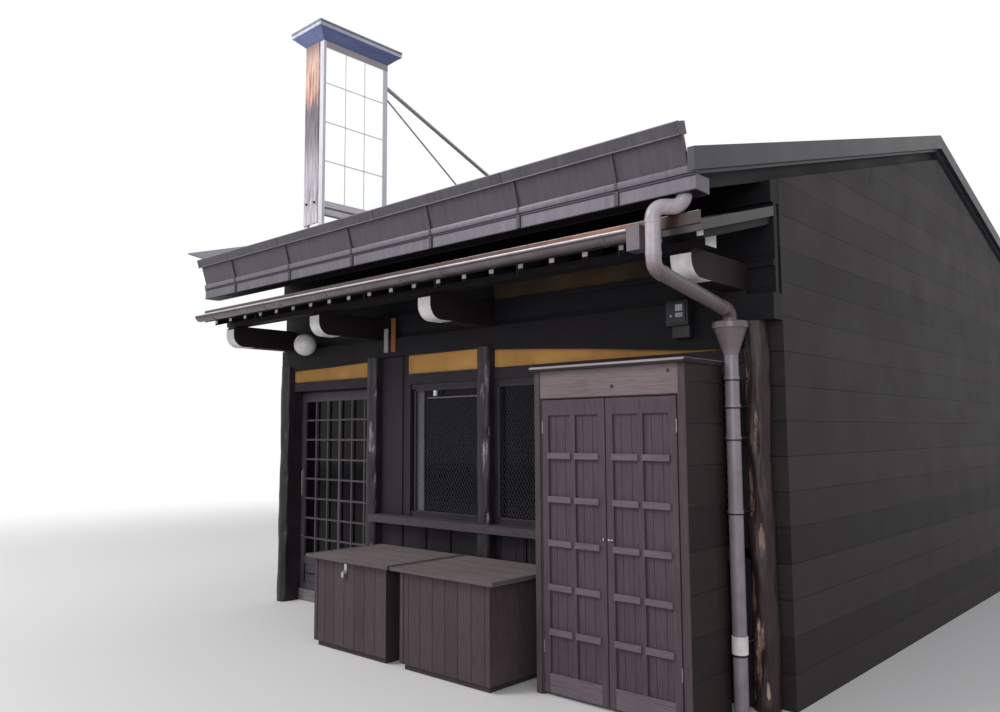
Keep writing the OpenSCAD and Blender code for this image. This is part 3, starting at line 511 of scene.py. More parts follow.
def rounded_path(points, radius, steps=8):
    """The points of a route with its corners rounded."""
    points = [Vector(p) for p in points]
    route = [points[0]]
    for a, b, c in zip(points, points[1:], points[2:]):
        d1, d2 = (b - a).normalized(), (c - b).normalized()
        turn = d1.angle(d2)
        side = (d2 - d1 * d1.dot(d2)).normalized()
        start = b - d1 * radius * math.tan(turn / 2)
        for k in range(steps + 1):
            t = turn * k / steps
            route.append(start + d1 * radius * math.sin(t) + side * radius * (1 - math.cos(t)))
    return route + [points[-1]]


# Settings


class TimberSettings(bpy.types.PropertyGroup):
    """Sizes of the logs and battens"""
    log_bulge: bpy.props.FloatProperty(
        name="Log Bulge", description="How far knots and swellings stand out of a log",
        default=0.009, min=0.0, max=0.02, unit="LENGTH")
    batten_width: bpy.props.FloatProperty(
        name="Batten Width", description="Width of the battens over the wall boards' joints",
        default=0.028, min=0.015, max=0.05, unit="LENGTH")
    chest_board: bpy.props.FloatProperty(
        name="Chest Board", description="Width of one board of a chest",
        default=0.121, min=0.06, max=0.2, unit="LENGTH")


class RoofSettings(bpy.types.PropertyGroup):
    """Sizes of the roof's seams and gutter parts"""
    seam_step: bpy.props.FloatProperty(
        name="Seam Spacing", description="Distance between two batten seams of the roof sheet",
        default=0.424, min=0.3, max=0.6, unit="LENGTH")
    seam_height: bpy.props.FloatProperty(
        name="Seam Height", description="Height of a batten seam",
        default=0.032, min=0.015, max=0.05, unit="LENGTH")
    bracket_width: bpy.props.FloatProperty(
        name="Bracket Width", description="Width of the straps across the eave's fascia",
        default=0.028, min=0.02, max=0.06, unit="LENGTH")


class ScreenSettings(bpy.types.PropertyGroup):
    """Sizes of the window screens"""
    mesh_width: bpy.props.FloatProperty(
        name="Mesh Width", description="Width of one diamond of the window screens",
        default=0.030, min=0.015, max=0.06, unit="LENGTH")
    mesh_height: bpy.props.FloatProperty(
        name="Mesh Height", description="Height of one diamond of the window screens",
        default=0.048, min=0.02, max=0.09, unit="LENGTH")
    strand: bpy.props.FloatProperty(
        name="Strand", description="Thickness of a strand of the window screens",
        default=0.0030, min=0.001, max=0.004, unit="LENGTH")


class StageSettings(bpy.types.PropertyGroup):
    """Floor, lights and camera"""
    floor_colour: bpy.props.FloatVectorProperty(
        name="Floor Colour", description="Colour of the pale floor", subtype="COLOR", size=4,
        default=colour("#d9d7d4"), min=0.0, max=1.0)
    eye_height: bpy.props.FloatProperty(
        name="Eye Height", description="Height of the camera above the ground",
        default=1.62, min=0.5, max=3.0, unit="LENGTH")
    lens: bpy.props.FloatProperty(
        name="Lens", description="Focal length of the camera in millimetres",
        default=30.0, min=18.0, max=85.0)
    key_power: bpy.props.FloatProperty(
        name="Key Power", description="Power of the large soft lamp in watts",
        default=900.0, min=0.0, max=5000.0)


# Operators


class TOWNHOUSE_OT_finishes(bpy.types.Operator):
    """Gives every solid of the frame its finish"""
    bl_idname = "townhouse.finishes"
    bl_label = "Frame Finishes"

    def execute(self, context):
        chest_board = ("X", context.scene.townhouse_timber.chest_board, -0.817)
        table = {
            "wall_beams roof_beams pent_purlin door_head_track": stained("X"),
            "pent_rafters roof_rafters": stained("Y"),
            "bracket_arms": timber("stained bracket arm", "Y", "#100c0f", "#2a2225"),
            "lintels": timber("stained lintel", "X", "#171317", "#2f292f"),
            "log_posts": peeled_log("stained peeled log"),
            "wall_boards": timber("stained wall boards", "Z", "#110e12", "#2b262b", board=("X", 0.15, 0.06)),
            "upper_walls": timber("stained upper boards", "X", "#07060a", "#151219", board=("Z", 0.19, 0.02)),
            "party_wall_left party_wall_right": timber(
                "stained party wall boards", "X", "#141011", "#302a2a", board=("Z", 0.21, 0.0)),
            "plaster_bands": earth_plaster("ochre earth plaster", "#9d7341", "#c79657"),
            "ground_floor": earth_plaster("trowelled concrete", "#8f8b84", "#bdb8b0"),
            "shelf_plank": timber("weathered shelf plank", "X", "#302a2e", "#4f474c", rough=0.66),
            "door_sill": timber("worn sill", "X", "#4a4244", "#857c7c", rough=0.66),
            "window_frames": timber("window sash timber", "Z", "#151215", "#332e33", rough=0.5),
            "window_glass": drawn_glass("float glass"),
            "lattice_door": timber("lattice door timber", "Z", "#2b262a", "#585157", rough=0.55),
            "name_plates": timber("bare plate timber", "Z", "#5a4f4c", "#8c8480", rough=0.7),
            "pent_roof": sheet_steel("pent roof steel sheet", "#2a2428", "#41393e"),
            "pent_gutter": gutter_brown(),
            "downpipe_lower downpipe_upper": gutter_pvc(),
            "roof_front roof_back snow_board": roof_steel(),
            "ridge_cap eave_boxes verge_curb_left": trim_steel(),
            "verge_right": sheet_steel("shaded verge steel", "#232026", "#37333a"),
            "tower_frame": timber("silvered tower posts", "Z", "#bdb8bf", "#e2dee3", rough=0.7),
            "tower_panels": lit_acrylic(),
            "tower_cap": cap_steel(),
            "tower_stays": metal("painted steel stay", "#84878a", "#aeb1b3", rough=0.5, metallic=0.2),
            "globe_lamp": opal_globe(),
            "meter_box": black_case(),
            "cupboard_case cupboard_door_left cupboard_door_right": timber(
                "cupboard boards", "Z", "#372d32", "#53474d", rough=0.6),
            "chest_left_box chest_right_box": timber(
                "chest boards", "Z", "#33282b", "#4f4346", rough=0.6, joint="#281f22", vary=0.16,
                board=chest_board),
            "chest_left_lid chest_right_lid": timber(
                "chest lid boards", "X", "#5a4f4f", "#827675", rough=0.58),
        }
        bare = set(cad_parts)
        for names, material in table.items():
            for name in names.split():
                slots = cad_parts[name].data.materials
                slots.clear()
                slots.append(material)
                bare.remove(name)
        if bare:
            raise RuntimeError("no finish for " + ", ".join(sorted(bare)))
        return {"FINISHED"}


class TOWNHOUSE_OT_log_posts(bpy.types.Operator):
    """Shapes the log posts with their swellings, hollows and pale marks: scars and painted highlights"""
    bl_idname = "townhouse.log_posts"
    bl_label = "Log Posts"

    # Hollows of each post, with pale marks that are scars and painted highlights: angle in degrees round the
    # log from the street side, height, reach
    scars_and_highlights = (
        ((38, 2.02, 0.05), (28, 1.62, 0.16), (50, 1.20, 0.06), (24, 1.02, 0.12), (44, 0.66, 0.10)),
        ((52, 1.98, 0.06), (14, 1.60, 0.20), (34, 1.50, 0.10), (48, 1.23, 0.09), (58, 1.01, 0.05),
         (30, 0.6, 0.12)),
        ((40, 2.05, 0.15), (12, 1.92, 0.14), (58, 1.62, 0.07), (26, 1.46, 0.20), (44, 0.98, 0.06),
         (34, 0.92, 0.05)),
        ((-34, 1.90, 0.20), (14, 1.62, 0.18), (-30, 1.28, 0.22), (24, 0.98, 0.16), (-40, 0.66, 0.26),
         (4, 0.42, 0.18), (-14, 0.24, 0.18), (30, 0.12, 0.08), (-44, 0.08, 0.08)),
    )
    scar_and_highlight_strength = (0.48, 0.58, 0.58, 0.60)
    foot_radius, head_radius, half_width, half_depth = 0.086, 0.078, 0.064, 0.060
    around, up = 44, 96

    def log(self, form, layer, number, back):
        """One log, cut flat towards the walls; the one at the right corner is the most gnarled."""
        bulge = bpy.context.scene.townhouse_timber.log_bulge
        x, forward = POST_XS[number], POST_FORWARD[number]
        gnarl = 2.2 if number == 3 and not back else 1.0
        left = self.foot_radius if number == 0 else self.half_width
        right = self.foot_radius if number == 3 else self.half_width
        rings, marks = [], []
        for i in range(self.up + 1):
            z = BEAM_FOOT * i / self.up
            base = self.foot_radius + (self.head_radius - self.foot_radius) * z / BEAM_FOOT
            rings.append([])
            for k in range(self.around):
                a = 2 * math.pi * k / self.around
                east, north = math.sin(a), -math.cos(a)
                swell = noise.noise(Vector((east * 1.3 + number * 7, north * 1.3, z * 3.2)))
                ripple = noise.noise(Vector((east * 3 + number * 3, north * 3 + 5, z * 9)))
                r = base + gnarl * (bulge * (0.7 * swell - 0.35) + 0.003 * ripple)
                mark = 0.0
                for turn, height, reach in self.scars_and_highlights[number]:
                    across = math.remainder(a - math.radians(turn), 2 * math.pi) * base
                    across /= 0.20 * reach + 0.010
                    depth = max(0.0, 1 - across * across - ((z - height) / reach) ** 2)
                    r -= 0.008 * gnarl ** 0.5 * depth
                    mark = max(mark, self.scar_and_highlight_strength[number] * depth ** 0.5)
                r = min(r, base + 0.004)
                px, py = min(max(r * east, -left), right), min(r * north, self.half_depth)
                if forward and north > 0 and abs(east) < 0.79:
                    # The squared back of a log that stands in front of the wall
                    px = min(max(0.1 * east, -self.half_width), self.half_width)
                    py = self.half_depth + forward
                y = POST_Y - forward + py
                rings[-1].append((x + px, -y if back else y, z))
                marks.append(mark if py < 0.03 else 0.0)
        for vert, mark in zip(form.skin(rings), marks):
            vert[layer] = mark

    def execute(self, context):
        form = Form()
        layer = form.bm.verts.layers.float.new("scar")
        for number in range(len(POST_XS)):
            for back in (False, True):
                self.log(form, layer, number, back)
        logs = form.piece("log_posts_shaped", peeled_log("stained peeled log"), smooth=50)
        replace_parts(logs, "log_posts")
        return {"FINISHED"}


class TOWNHOUSE_OT_wall_details(bpy.types.Operator):
    """Adds battens, the plaster strip under the eave and the boards' cover strips"""
    bl_idname = "townhouse.wall_details"
    bl_label = "Wall Details"

    def execute(self, context):
        half = context.scene.townhouse_timber.batten_width / 2
        stain_x, stain_z = stained("X"), stained("Z")
        # Name, side (-1 is the street), first place, count, distance and height of the battens
        for name, side, first, count, step, height in (
                ("wainscot_battens_left", -1, -0.785, 3, 0.2925, WAINSCOT_TOP),
                ("wainscot_battens_right", -1, 0.605, 6, 0.2950, WAINSCOT_TOP),
                ("back_battens_0", 1, -2.22, 4, 0.2925, LINTEL_FOOT),
                ("back_battens_1", 1, -0.82, 4, 0.2925, WAINSCOT_TOP),
                ("back_battens_2", 1, 0.54, 7, 0.2925, WAINSCOT_TOP)):
            face = -side * BOARD_FRONT
            xs, ys = (first - half, first + half), (face, face + side * 0.012)
            Form().block(xs, ys, (0.0, height), 0.002).piece(name, stain_z, row=(count, step))
        Form().block((ARM_XS[2] + 0.067, 1.78), mm(BOARD_FRONT, -6, 0), (2.650, 2.775)).piece(
            "plaster_strip_under_pent_roof", earth_plaster("shaded ochre plaster", "#32281c", "#504131"),
            "ochre_plaster")
        form = Form()
        edges = (-2.665,) + ARM_XS + (2.665,)
        for a, b in zip(edges, edges[1:]):
            form.block((a + 0.066, b - 0.066), mm(BOARD_FRONT, -22, 0), (2.610, 2.648), 0.002)
        form.piece("rail_under_plaster_strip", stain_x)
        # The beam is a hewn trunk: its belly hangs below the straight edge over the door and the right bay
        form = Form()
        for belly in (((-2.427, 2.240), (-1.795, 2.248), (-1.252, 2.262), (-1.190, 2.264)),
                      ((0.300, 2.268), (0.697, 2.243), (0.983, 2.223), (1.335, 2.198), (1.661, 2.170),
                       (2.035, 2.140), (2.386, 2.127))):
            ends = [(belly[0][0], BEAM_FOOT)], [(belly[-1][0], BEAM_FOOT)]
            form.prism(1, (BEAM_FRONT, BOARD_FRONT + 0.001), ends[0] + list(belly) + ends[1])
        form.piece("beam_belly", stain_x)
        # Jamb and stop between the plain panel and the left window
        form = Form().block((-0.710, -0.666), mm(BOARD_FRONT, -20, 10), (0.926, LINTEL_FOOT), 0.002)
        form.block((-1.061, -0.780), mm(BOARD_FRONT, -10, 0), (0.926, 2.285), 0.003)
        form.piece("panel_cover_board", timber("panel cover board", "Z", "#161317", "#2a252a", rough=0.55))
        return {"FINISHED"}


class TOWNHOUSE_OT_window_screens(bpy.types.Operator):
    """Makes the diamond mesh screens, their frames and the small window fittings"""
    bl_idname = "townhouse.window_screens"
    bl_label = "Window Screens"

    def screen(self, sizes, name, xs, zs):
        """Expanded metal: pairs of zigzag strands that meet at the diamonds' corners."""
        width, height, half = xs[1] - xs[0], zs[1] - zs[0], sizes.strand / 2
        count, turns = int(width / sizes.mesh_width), int(height / (sizes.mesh_height / 2))
        step = width / count
        # Flat wire, 1.3 times as wide as it is thick
        wire = ((-half * 1.3, 0), (0, -half), (half * 1.3, 0), (0, half))
        form = Form()
        for start, away, y in ((0, step / 2, BOARD_FRONT - 0.0048), (step, -step / 2, BOARD_FRONT - 0.0032)):
            form.skin([[(xs[0] + start + k % 2 * away + dx, y + dy, zs[0] + height * k / turns)
                        for dx, dy in wire] for k in range(turns + 1)])
        form.piece(name, metal("galvanised screen wire", "#2e2c31", "#4a474e", rough=0.45, metallic=0.8),
                   row=(count, step))

    def execute(self, context):
        low, high, bar, inset = 0.962, 1.990, 0.016, 0.012
        form = Form()
        for label, x0, x1 in (("left", -0.622, 0.140), ("right_1", 0.342, 1.328), ("right_2", 1.361, 2.347)):
            self.screen(context.scene.townhouse_screen, "screen_mesh_" + label,
                        (x0 + inset, x1 - inset), (low + inset, high - inset))
            for xs, zs in (((x0, x1), (low, low + bar)), ((x0, x1), (high - bar, high)),
                           ((x0, x0 + bar), (low, high)), ((x1 - bar, x1), (low, high))):
                form.block(xs, mm(BOARD_FRONT, -12, 6), zs, 0.0015)
        form.piece("screen_frames", timber("screen frame timber", "Z", "#1d181b", "#3b353a", rough=0.5),
                   "greyed_timber")
        # A pale sliding stile inside the left window, and the rail with its white roller
        Form().block((-0.616, -0.530), mm(BOARD_FRONT, 12, 26), (0.975, 1.985), 0.003).piece(
            "inner_sliding_stile", timber("inner stile timber", "Z", "#55525a", "#7a7780", rough=0.5),
            "greyed_timber")
        Form().tube([(x, BOARD_FRONT - 0.014, 1.912) for x in (-0.450, 0.130)], 0.006, 10).piece(
            "screen_rail", metal("worn rail steel", "#5c5558", "#8d8588", rough=0.45), "gutter_plastic")
        Form().block((-0.370, -0.340), mm(BOARD_FRONT, -30, -8), (1.926, 1.972), 0.004).piece(
            "screen_roller", white_paint(), "white_panel")
        return {"FINISHED"}


class TOWNHOUSE_OT_door_details(bpy.types.Operator):
    """Adds the lattice door's panes, pull, lock and foot panel"""
    bl_idname = "townhouse.door_details"
    bl_label = "Door Details"

    def execute(self, context):
        door = "lattice_door"
        low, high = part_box(door)
        front, x = low.y, low.x + 0.059
        Form().block(within(low.x, high.x, 88), mm(front, 22, 26), (0.430, high.z - 0.090)).piece(
            "door_panes", drawn_glass("float glass"), "window_glass", door)
        form = Form()
        for upright in (low.x + 0.104, (low.x + high.x) / 2, high.x - 0.104):
            form.block(about(upright, 4), mm(front, 3, 11.5), (0.172, 0.354), 0.001)
        form.block(within(low.x, high.x, 100), mm(front, 2, 11.5), (0.258, 0.266), 0.001)
        form.piece("door_foot_mouldings", stained("X"), body=door)
        form = Form().block(about(x, 11), mm(front, -3, 2), (0.985, 1.285), 0.001)
        bow = ((0.003, 1.255), (0.009, 1.235), (0.010, 1.160), (0.010, 1.090), (0.009, 1.030), (0.003, 1.012))
        form.tube([(x, front - out, z) for out, z in bow], 0.0042, 10)
        form.block(about(x, 14), mm(front, -6, 1), (1.035, 1.065), 0.002)
        form.piece("door_pull", metal("worn steel pull", "#77706f", "#b9b1af", rough=0.4), body=door,
                   smooth=40)
        form = Form().tube([(x, front - 0.006, 0.620), (x, front + 0.004, 0.620)], 0.015, 24)
        form.tube([(x, front - 0.009, 0.620), (x, front - 0.004, 0.620)], 0.006, 16)
        form.piece("door_lock", bright_steel(), body=door, smooth=40)
        return {"FINISHED"}


class TOWNHOUSE_OT_bracket_paint(bpy.types.Operator):
    """Paints the curved tips of the bracket arms, the rafters' ends and the purlin's ends white"""
    bl_idname = "townhouse.bracket_paint"
    bl_label = "White Ends"

    def execute(self, context):
        tip, high, radius, skin = -4.250, 2.607, 0.110, 0.0015
        form = Form()
        for x, lift in zip(ARM_XS, ARM_LIFT):
            low = 2.446 + lift
            line = [(tip, high)]
            for k in range(13):
                a = math.pi / 2 * k / 12
                line.append((tip + radius - radius * math.cos(a), low + radius - radius * math.sin(a)))
            line += [(tip + radius + 0.06, low), (tip + radius + 0.11, low)]
            outer = [(tip - skin, high)] + [(y - skin * 0.7, z - skin * 0.7) for y, z in line[1:]]
            inner = [(y + skin * 0.3, z + skin * 0.3) for y, z in line]
            form.prism(0, about(x, 65.5), outer + inner[::-1])
        form.piece("bracket_tips_paint", white_paint(), "white_panel")
        y = -4.380
        z = pent_low(y)
        end = [(y - 0.003, z + 0.016), (y + 0.001, z + 0.016), (y + 0.001, z + 0.042), (y - 0.003, z + 0.042)]
        Form().prism(0, about(-2.513, 19), end).piece(
            "rafter_ends_paint", white_paint(), "white_panel", row=(21, 0.2535))
        form = Form()
        for ends in ((2.5, 2.503), (-2.603, -2.6)):
            form.prism(0, ends, [(-4.224, 2.642), (-4.104, 2.642), (-4.104, pent_low(-4.104) - 0.002),
                                 (-4.224, pent_low(-4.224) - 0.002)])
        form.piece("purlin_ends_paint", white_paint(), "white_panel")
        return {"FINISHED"}


class TOWNHOUSE_OT_roof_seams(bpy.types.Operator):
    """Adds the batten seams of both roof slopes and the ridge's cover"""
    bl_idname = "townhouse.roof_seams"
    bl_label = "Roof Seams"

    def execute(self, context):
        sizes = context.scene.townhouse_roof
        first, rise = -2.110, sizes.seam_height
        count = int((2.56 - first) / sizes.seam_step) + 1
        for label, a, b in (("front", 0.075 - EAVE_Y, -0.140), ("back", EAVE_Y - 0.010, 0.140)):
            foot = [(a, roof_top(a)), (b, roof_top(b))]
            form = Form().prism(0, about(first, 22), foot + [(y, z + rise) for y, z in foot[::-1]])
            crests = [e for e in form.bm.edges if abs(e.verts[0].co.x - e.verts[1].co.x) < 1e-6
                      and min(v.co.z - roof_top(v.co.y) for v in e.verts) > rise / 2]
            bmesh.ops.bevel(form.bm, geom=crests, offset=0.006, segments=2, profile=0.6, affect="EDGES")
            form.piece("roof_seams_" + label, roof_steel(), "roof_sheet", smooth=35,
                       row=(count, sizes.seam_step))
        form = Form()
        beads = ((0, 0.034, 0.022, 16), (-0.146, 0.014, 0.010, 10), (0.146, 0.014, 0.010, 10))
        for y, above, radius, sides in beads:
            form.tube([(x, y, roof_top(y) + above) for x in ROOF_XS], radius, sides)
        form.piece("ridge_beads", trim_steel(), "roof_sheet", smooth=40)
        return {"FINISHED"}


class TOWNHOUSE_OT_eave_details(bpy.types.Operator):
    """Adds the snow board's seams and cap joints, the eave's ledge and the fascia's straps"""
    bl_idname = "townhouse.eave_details"
    bl_label = "Eave Details"

    seam_xs = (-1.971, -1.124, -0.291, 0.584, 1.383, 2.113)

    def execute(self, context):
        half = context.scene.townhouse_roof.bracket_width / 2
        lean = Matrix.Translation((0, -4.500, 3.002)) @ Matrix.Rotation(math.radians(16.7), 4, "X")
        seams, straps = Form(), Form()
        for x in self.seam_xs:
            seams.block(about(x, 8), (-0.013, 0.001), (0.000, 0.170), 0.002, lean)
            straps.block((x - half, x + half), (-4.509, -4.499), (2.876, 2.958), 0.002)
            straps.block((x - half * 0.8, x + half * 0.8), (-4.515, -4.480), (2.964, 3.004), 0.002)
        seams.piece("snow_board_seams", roof_steel(), "roof_sheet")
        straps.piece("fascia_straps", sheet_steel("strap steel", "#25222a", "#37343c"), "roof_sheet")
        # The panel between two seams is a pan with turned-up edges, the cap has a rolled lower edge
        form = Form()
        for y, z, radius in ((-0.022, 0.171, 0.005), (-0.018, 0.237, 0.006)):
            form.tube([lean @ Vector((x, y, z)) for x in (-2.518, 2.558)], radius, 10)
        form.piece("snow_board_cap_beads", trim_steel(), "roof_sheet", smooth=40)
        form = Form()
        for x in (-1.20, 0.05, 1.30):
            form.block(about(x, 4), (-0.025, 0.054), (0.168, 0.2415), 0.001, lean)
        form.piece("snow_board_cap_joints", roof_steel(), "roof_sheet")
        ledge, edges = Form(), Form()
        for side in (-1, 1):
            ledge.block((-2.510, 2.605), (side * 4.512, side * 4.476), (2.966, 3.006), 0.004)
            edges.block((-2.511, 2.606), (side * 4.503, side * 4.380), (2.872, 2.879), 0.002)
            edges.block((-2.510, 2.605), (side * 4.506, side * 4.499), (2.951, 2.965), 0.002)
        ledge.piece("eave_ledge", trim_steel(), "roof_sheet", smooth=40)
        edges.piece("fascia_edges", sheet_steel("shaded steel fold", "#141217", "#26232a"), "roof_sheet")
        return {"FINISHED"}


class TOWNHOUSE_OT_gutter_details(bpy.types.Operator):
    """Adds the gutter's lips, hooks and sleeves, and the pent roof's drip edge"""
    bl_idname = "townhouse.gutter_details"
    bl_label = "Gutter Details"

    tail_xs = (-1.738, -0.219, 0.556, 1.311, 2.074)
    # Middle and radius of the half-round gutter, and its right end
    y, z, r, end = -4.498, 2.715, 0.048, 2.198

    def execute(self, context):
        y, z, r = self.y, self.z, self.r
        lips, groove = Form(), Form()
        # The third tube, dark, just under the front lip, is painted shade: the lip's shadow line
        for form, x, py, pz, radius, sides in ((lips, -2.605, y - r + 0.003, z + 0.004, 0.0065, 12),
                                               (lips, -2.605, y + r - 0.004, z + 0.002, 0.0045, 10),
                                               (groove, -2.604, y - r - 0.0005, z - 0.0105, 0.0045, 10)):
            form.tube([(x, py, pz), (self.end, py, pz)], radius, sides)
        groove.piece("gutter_lip_shade_line", rigid_plastic("grimy groove", "#221c20", "#342c31", rough=0.6),
                     "gutter_plastic", smooth=40)
        # The lips' pale colour is a painted highlight along the gutter's beads
        highlighted = rigid_plastic("polished gutter lip", "#b3a8ae", "#d2c9ce", rough=0.22, Coat_Weight=0.4)
        lips.piece("gutter_lips", highlighted, "gutter_plastic", smooth=40)
        # Hooks and sleeves go round the gutter, 3 mm thick
        half_round = [math.pi * k / 18 for k in range(19)]
        outline = [(y - (r + out) * math.cos(a), z - (r + out) * math.sin(a))
                   for out, turns in ((0.0035, half_round), (0.0005, half_round[::-1])) for a in turns]
        sleeve = rigid_plastic("gutter sleeve", "#4e444a", "#6a5f65", rough=0.4)
        Form().prism(0, (-2.330, -2.306), outline).piece("gutter_hooks", sleeve, "gutter_plastic", smooth=30,
                                                         row=(6, 0.870))
        sleeves, tails = Form(), Form()
        for x in (-1.24, 0.68):
            sleeves.prism(0, about(x, 35), outline)
        for x in self.tail_xs:
            tails.tube([(x, -4.440, 2.672), (x, -4.438, 2.630), (x, -4.430, 2.612), (x, -4.420, 2.612),
                        (x, -4.414, 2.628)], 0.0045, 8)
        tails.piece("gutter_hook_tails", dark_iron(), "gutter_plastic", smooth=40)
        sleeves.piece("gutter_sleeves", sleeve, "gutter_plastic", smooth=30)
        Form().block((-2.600, 2.600), (-4.458, -4.446), (2.706, 2.776), 0.003).piece(
            "pent_drip_edge", drip_edge(), "roof_sheet")
        # Flat lock seams across the pent roof's sheet
        top = [(py, pent_low(place) + 0.106) for py, place in (mm(PENT_EDGE_Y, 2, 0), (-3.566, -3.566))]
        Form().prism(0, (-2.340, -2.324), top + [(py, pz + 0.014) for py, pz in top[::-1]]).piece(
            "pent_roof_seams", roof_steel(), "roof_sheet", row=(12, 0.4235))
        return {"FINISHED"}


class TOWNHOUSE_OT_downpipe(bpy.types.Operator):
    """Makes the upper downpipe with its elbows and sockets, and the lower pipe's rings and band"""
    bl_idname = "townhouse.downpipe"
    bl_label = "Downpipe"

    corners = [Vector(corner) for corner in (
        (2.500, -4.440, 2.874), (2.500, -4.440, 2.813), (2.373, -4.5508, 2.813), (2.373, -4.5508, 2.480),
        (2.387, -3.742, 2.335), (2.387, -3.742, 2.266))]
    # Heights of the rings and of the stand-offs that carry the pipe on the post
    rings = ((1.922, 1.935), (1.758, 1.769), (1.570, 1.581), (1.141, 1.153), (0.338, 0.409))

    def upright(self, form, heights, radius, sides):
        """Adds a tube round the lower pipe's middle line."""
        form.tube([(2.387, -3.742, z) for z in heights], radius, sides)
        return form

    def execute(self, context):
        r = 0.042
        form = Form().tube(rounded_path(self.corners, 0.060, 10), r, 32)
        # Sockets: a thicker ring where one length goes into the next
        down, slant = Vector((0, 0, 1)), (self.corners[4] - self.corners[3]).normalized()
        for middle, run, half in ((Vector((2.373, -4.5508, 2.7385)), down, 0.0135),
                                  (Vector((2.373, -4.5508, 2.5585)), down, 0.0135),
                                  (self.corners[3].lerp(self.corners[4], 0.10), slant, 0.012),
                                  (self.corners[3].lerp(self.corners[4], 0.90), slant, 0.012)):
            form.tube([middle + run * away for away in (-half - 0.002, -half, half, half + 0.002)],
                      [r, r + 0.0022, r + 0.0022, r], 32)
        upper = form.piece("downpipe_upper_bends", gutter_pvc(), "gutter_plastic", smooth=40)
        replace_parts(upper, "downpipe_upper")
        form = Form()
        for z, bar in self.rings:
            self.upright(form, about(z, 4), r + 0.0056, 40)
            form.tube([(2.4017, -3.6958, bar), (2.4250, -3.6226, bar)], 0.0082, 12)
        form.piece("downpipe_rings", dark_iron(), "gutter_plastic", smooth=40)
        radii = [r + 0.001, r + 0.0048, r + 0.0048, r + 0.001]
        self.upright(Form(), (0.346, 0.347, 0.447, 0.448), radii, 40).piece(
            "downpipe_white_band", white_paint(), "white_panel", smooth=40)
        form = self.upright(Form(), (2.2655, 2.270), [0.1075, 0.1045], 48)
        self.upright(form, (2.232, 2.242), 0.1075, 48)
        form.piece("hopper_beads", gutter_pvc(), "gutter_plastic", smooth=40)
        return {"FINISHED"}


class TOWNHOUSE_OT_tower_details(bpy.types.Operator):
    """Adds the lantern tower's glazing bars, front board, bolts and cap edges"""
    bl_idname = "townhouse.tower_details"
    bl_label = "Tower Details"

    def execute(self, context):
        low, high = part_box("tower_panels")
        form = Form()
        for xs in (mm(high.x, -1, 5), mm(low.x, -5, 1)):
            for z in (4.930, 4.550, 4.173):
                form.block(xs, (low.y, high.y), about(z, 5), 0.001)
            for part in (1, 2):
                form.block(xs, about(low.y + (high.y - low.y) * part / 3, 4), (low.z, high.z), 0.001)
        form.piece("tower_glazing_bars",
                   timber("silvered glazing bar", "Z", "#d5d0c8", "#e6e2db", rough=0.65), "tower_timber")
        low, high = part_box("tower_frame")
        Form().block((low.x + 0.010, high.x - 0.062), mm(low.y, -12, 1), (3.58, 5.339), 0.002).piece(
            "tower_front_board", sun_bleached_pine("sun bleached pine board"), "tower_timber")
        form = Form()
        for x in (low.x + 0.06, high.x - 0.10):
            form.tube([(x, low.y - 0.030, 3.783), (x, low.y - 0.010, 3.783)], 0.007, 12)
            form.tube([(x, low.y - 0.022, 3.783), (x, low.y - 0.012, 3.783)], 0.013, 6)
        form.piece("tower_bolts", metal("rusted bolt", "#4a3f3c", "#75655d", rough=0.6), "tower_timber")
        heads = Form()
        for xs in (mm(high.x, -4, 3), mm(low.x, -3, 4)):
            heads.block(xs, (low.y + 0.030, high.y), (5.276, 5.339), 0.002)
        # Two folded strips go round the cap's foot
        low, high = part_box("tower_cap")
        for name, z0, z1, out, steel in (
                ("tower_cap_edge", 0.086, 0.122, 0.006,
                 sheet_steel("pale cap edge", "#8d92a2", "#b2b6c3", rough=0.45)),
                ("tower_cap_rim", 0.123, 0.143, 0.010,
                 sheet_steel("grey cap rim", "#63656b", "#808288", rough=0.45))):
            form = Form()
            for xs, ys in (((low.x - out, high.x + out), (low.y - out, low.y + 0.004)),
                           ((low.x - out, high.x + out), (high.y - 0.004, high.y + out)),
                           ((low.x - out, low.x + 0.004), (low.y, high.y)),
                           ((high.x - 0.004, high.x + out), (low.y, high.y))):
                form.block(xs, ys, (low.z + z0, low.z + z1), 0.003)
            form.piece(name, steel, "roof_sheet")
        heads.piece("tower_head_boards", timber("tower head board", "Y", "#958b8e", "#b9b0b3", rough=0.66),
                    "tower_timber")
        return {"FINISHED"}


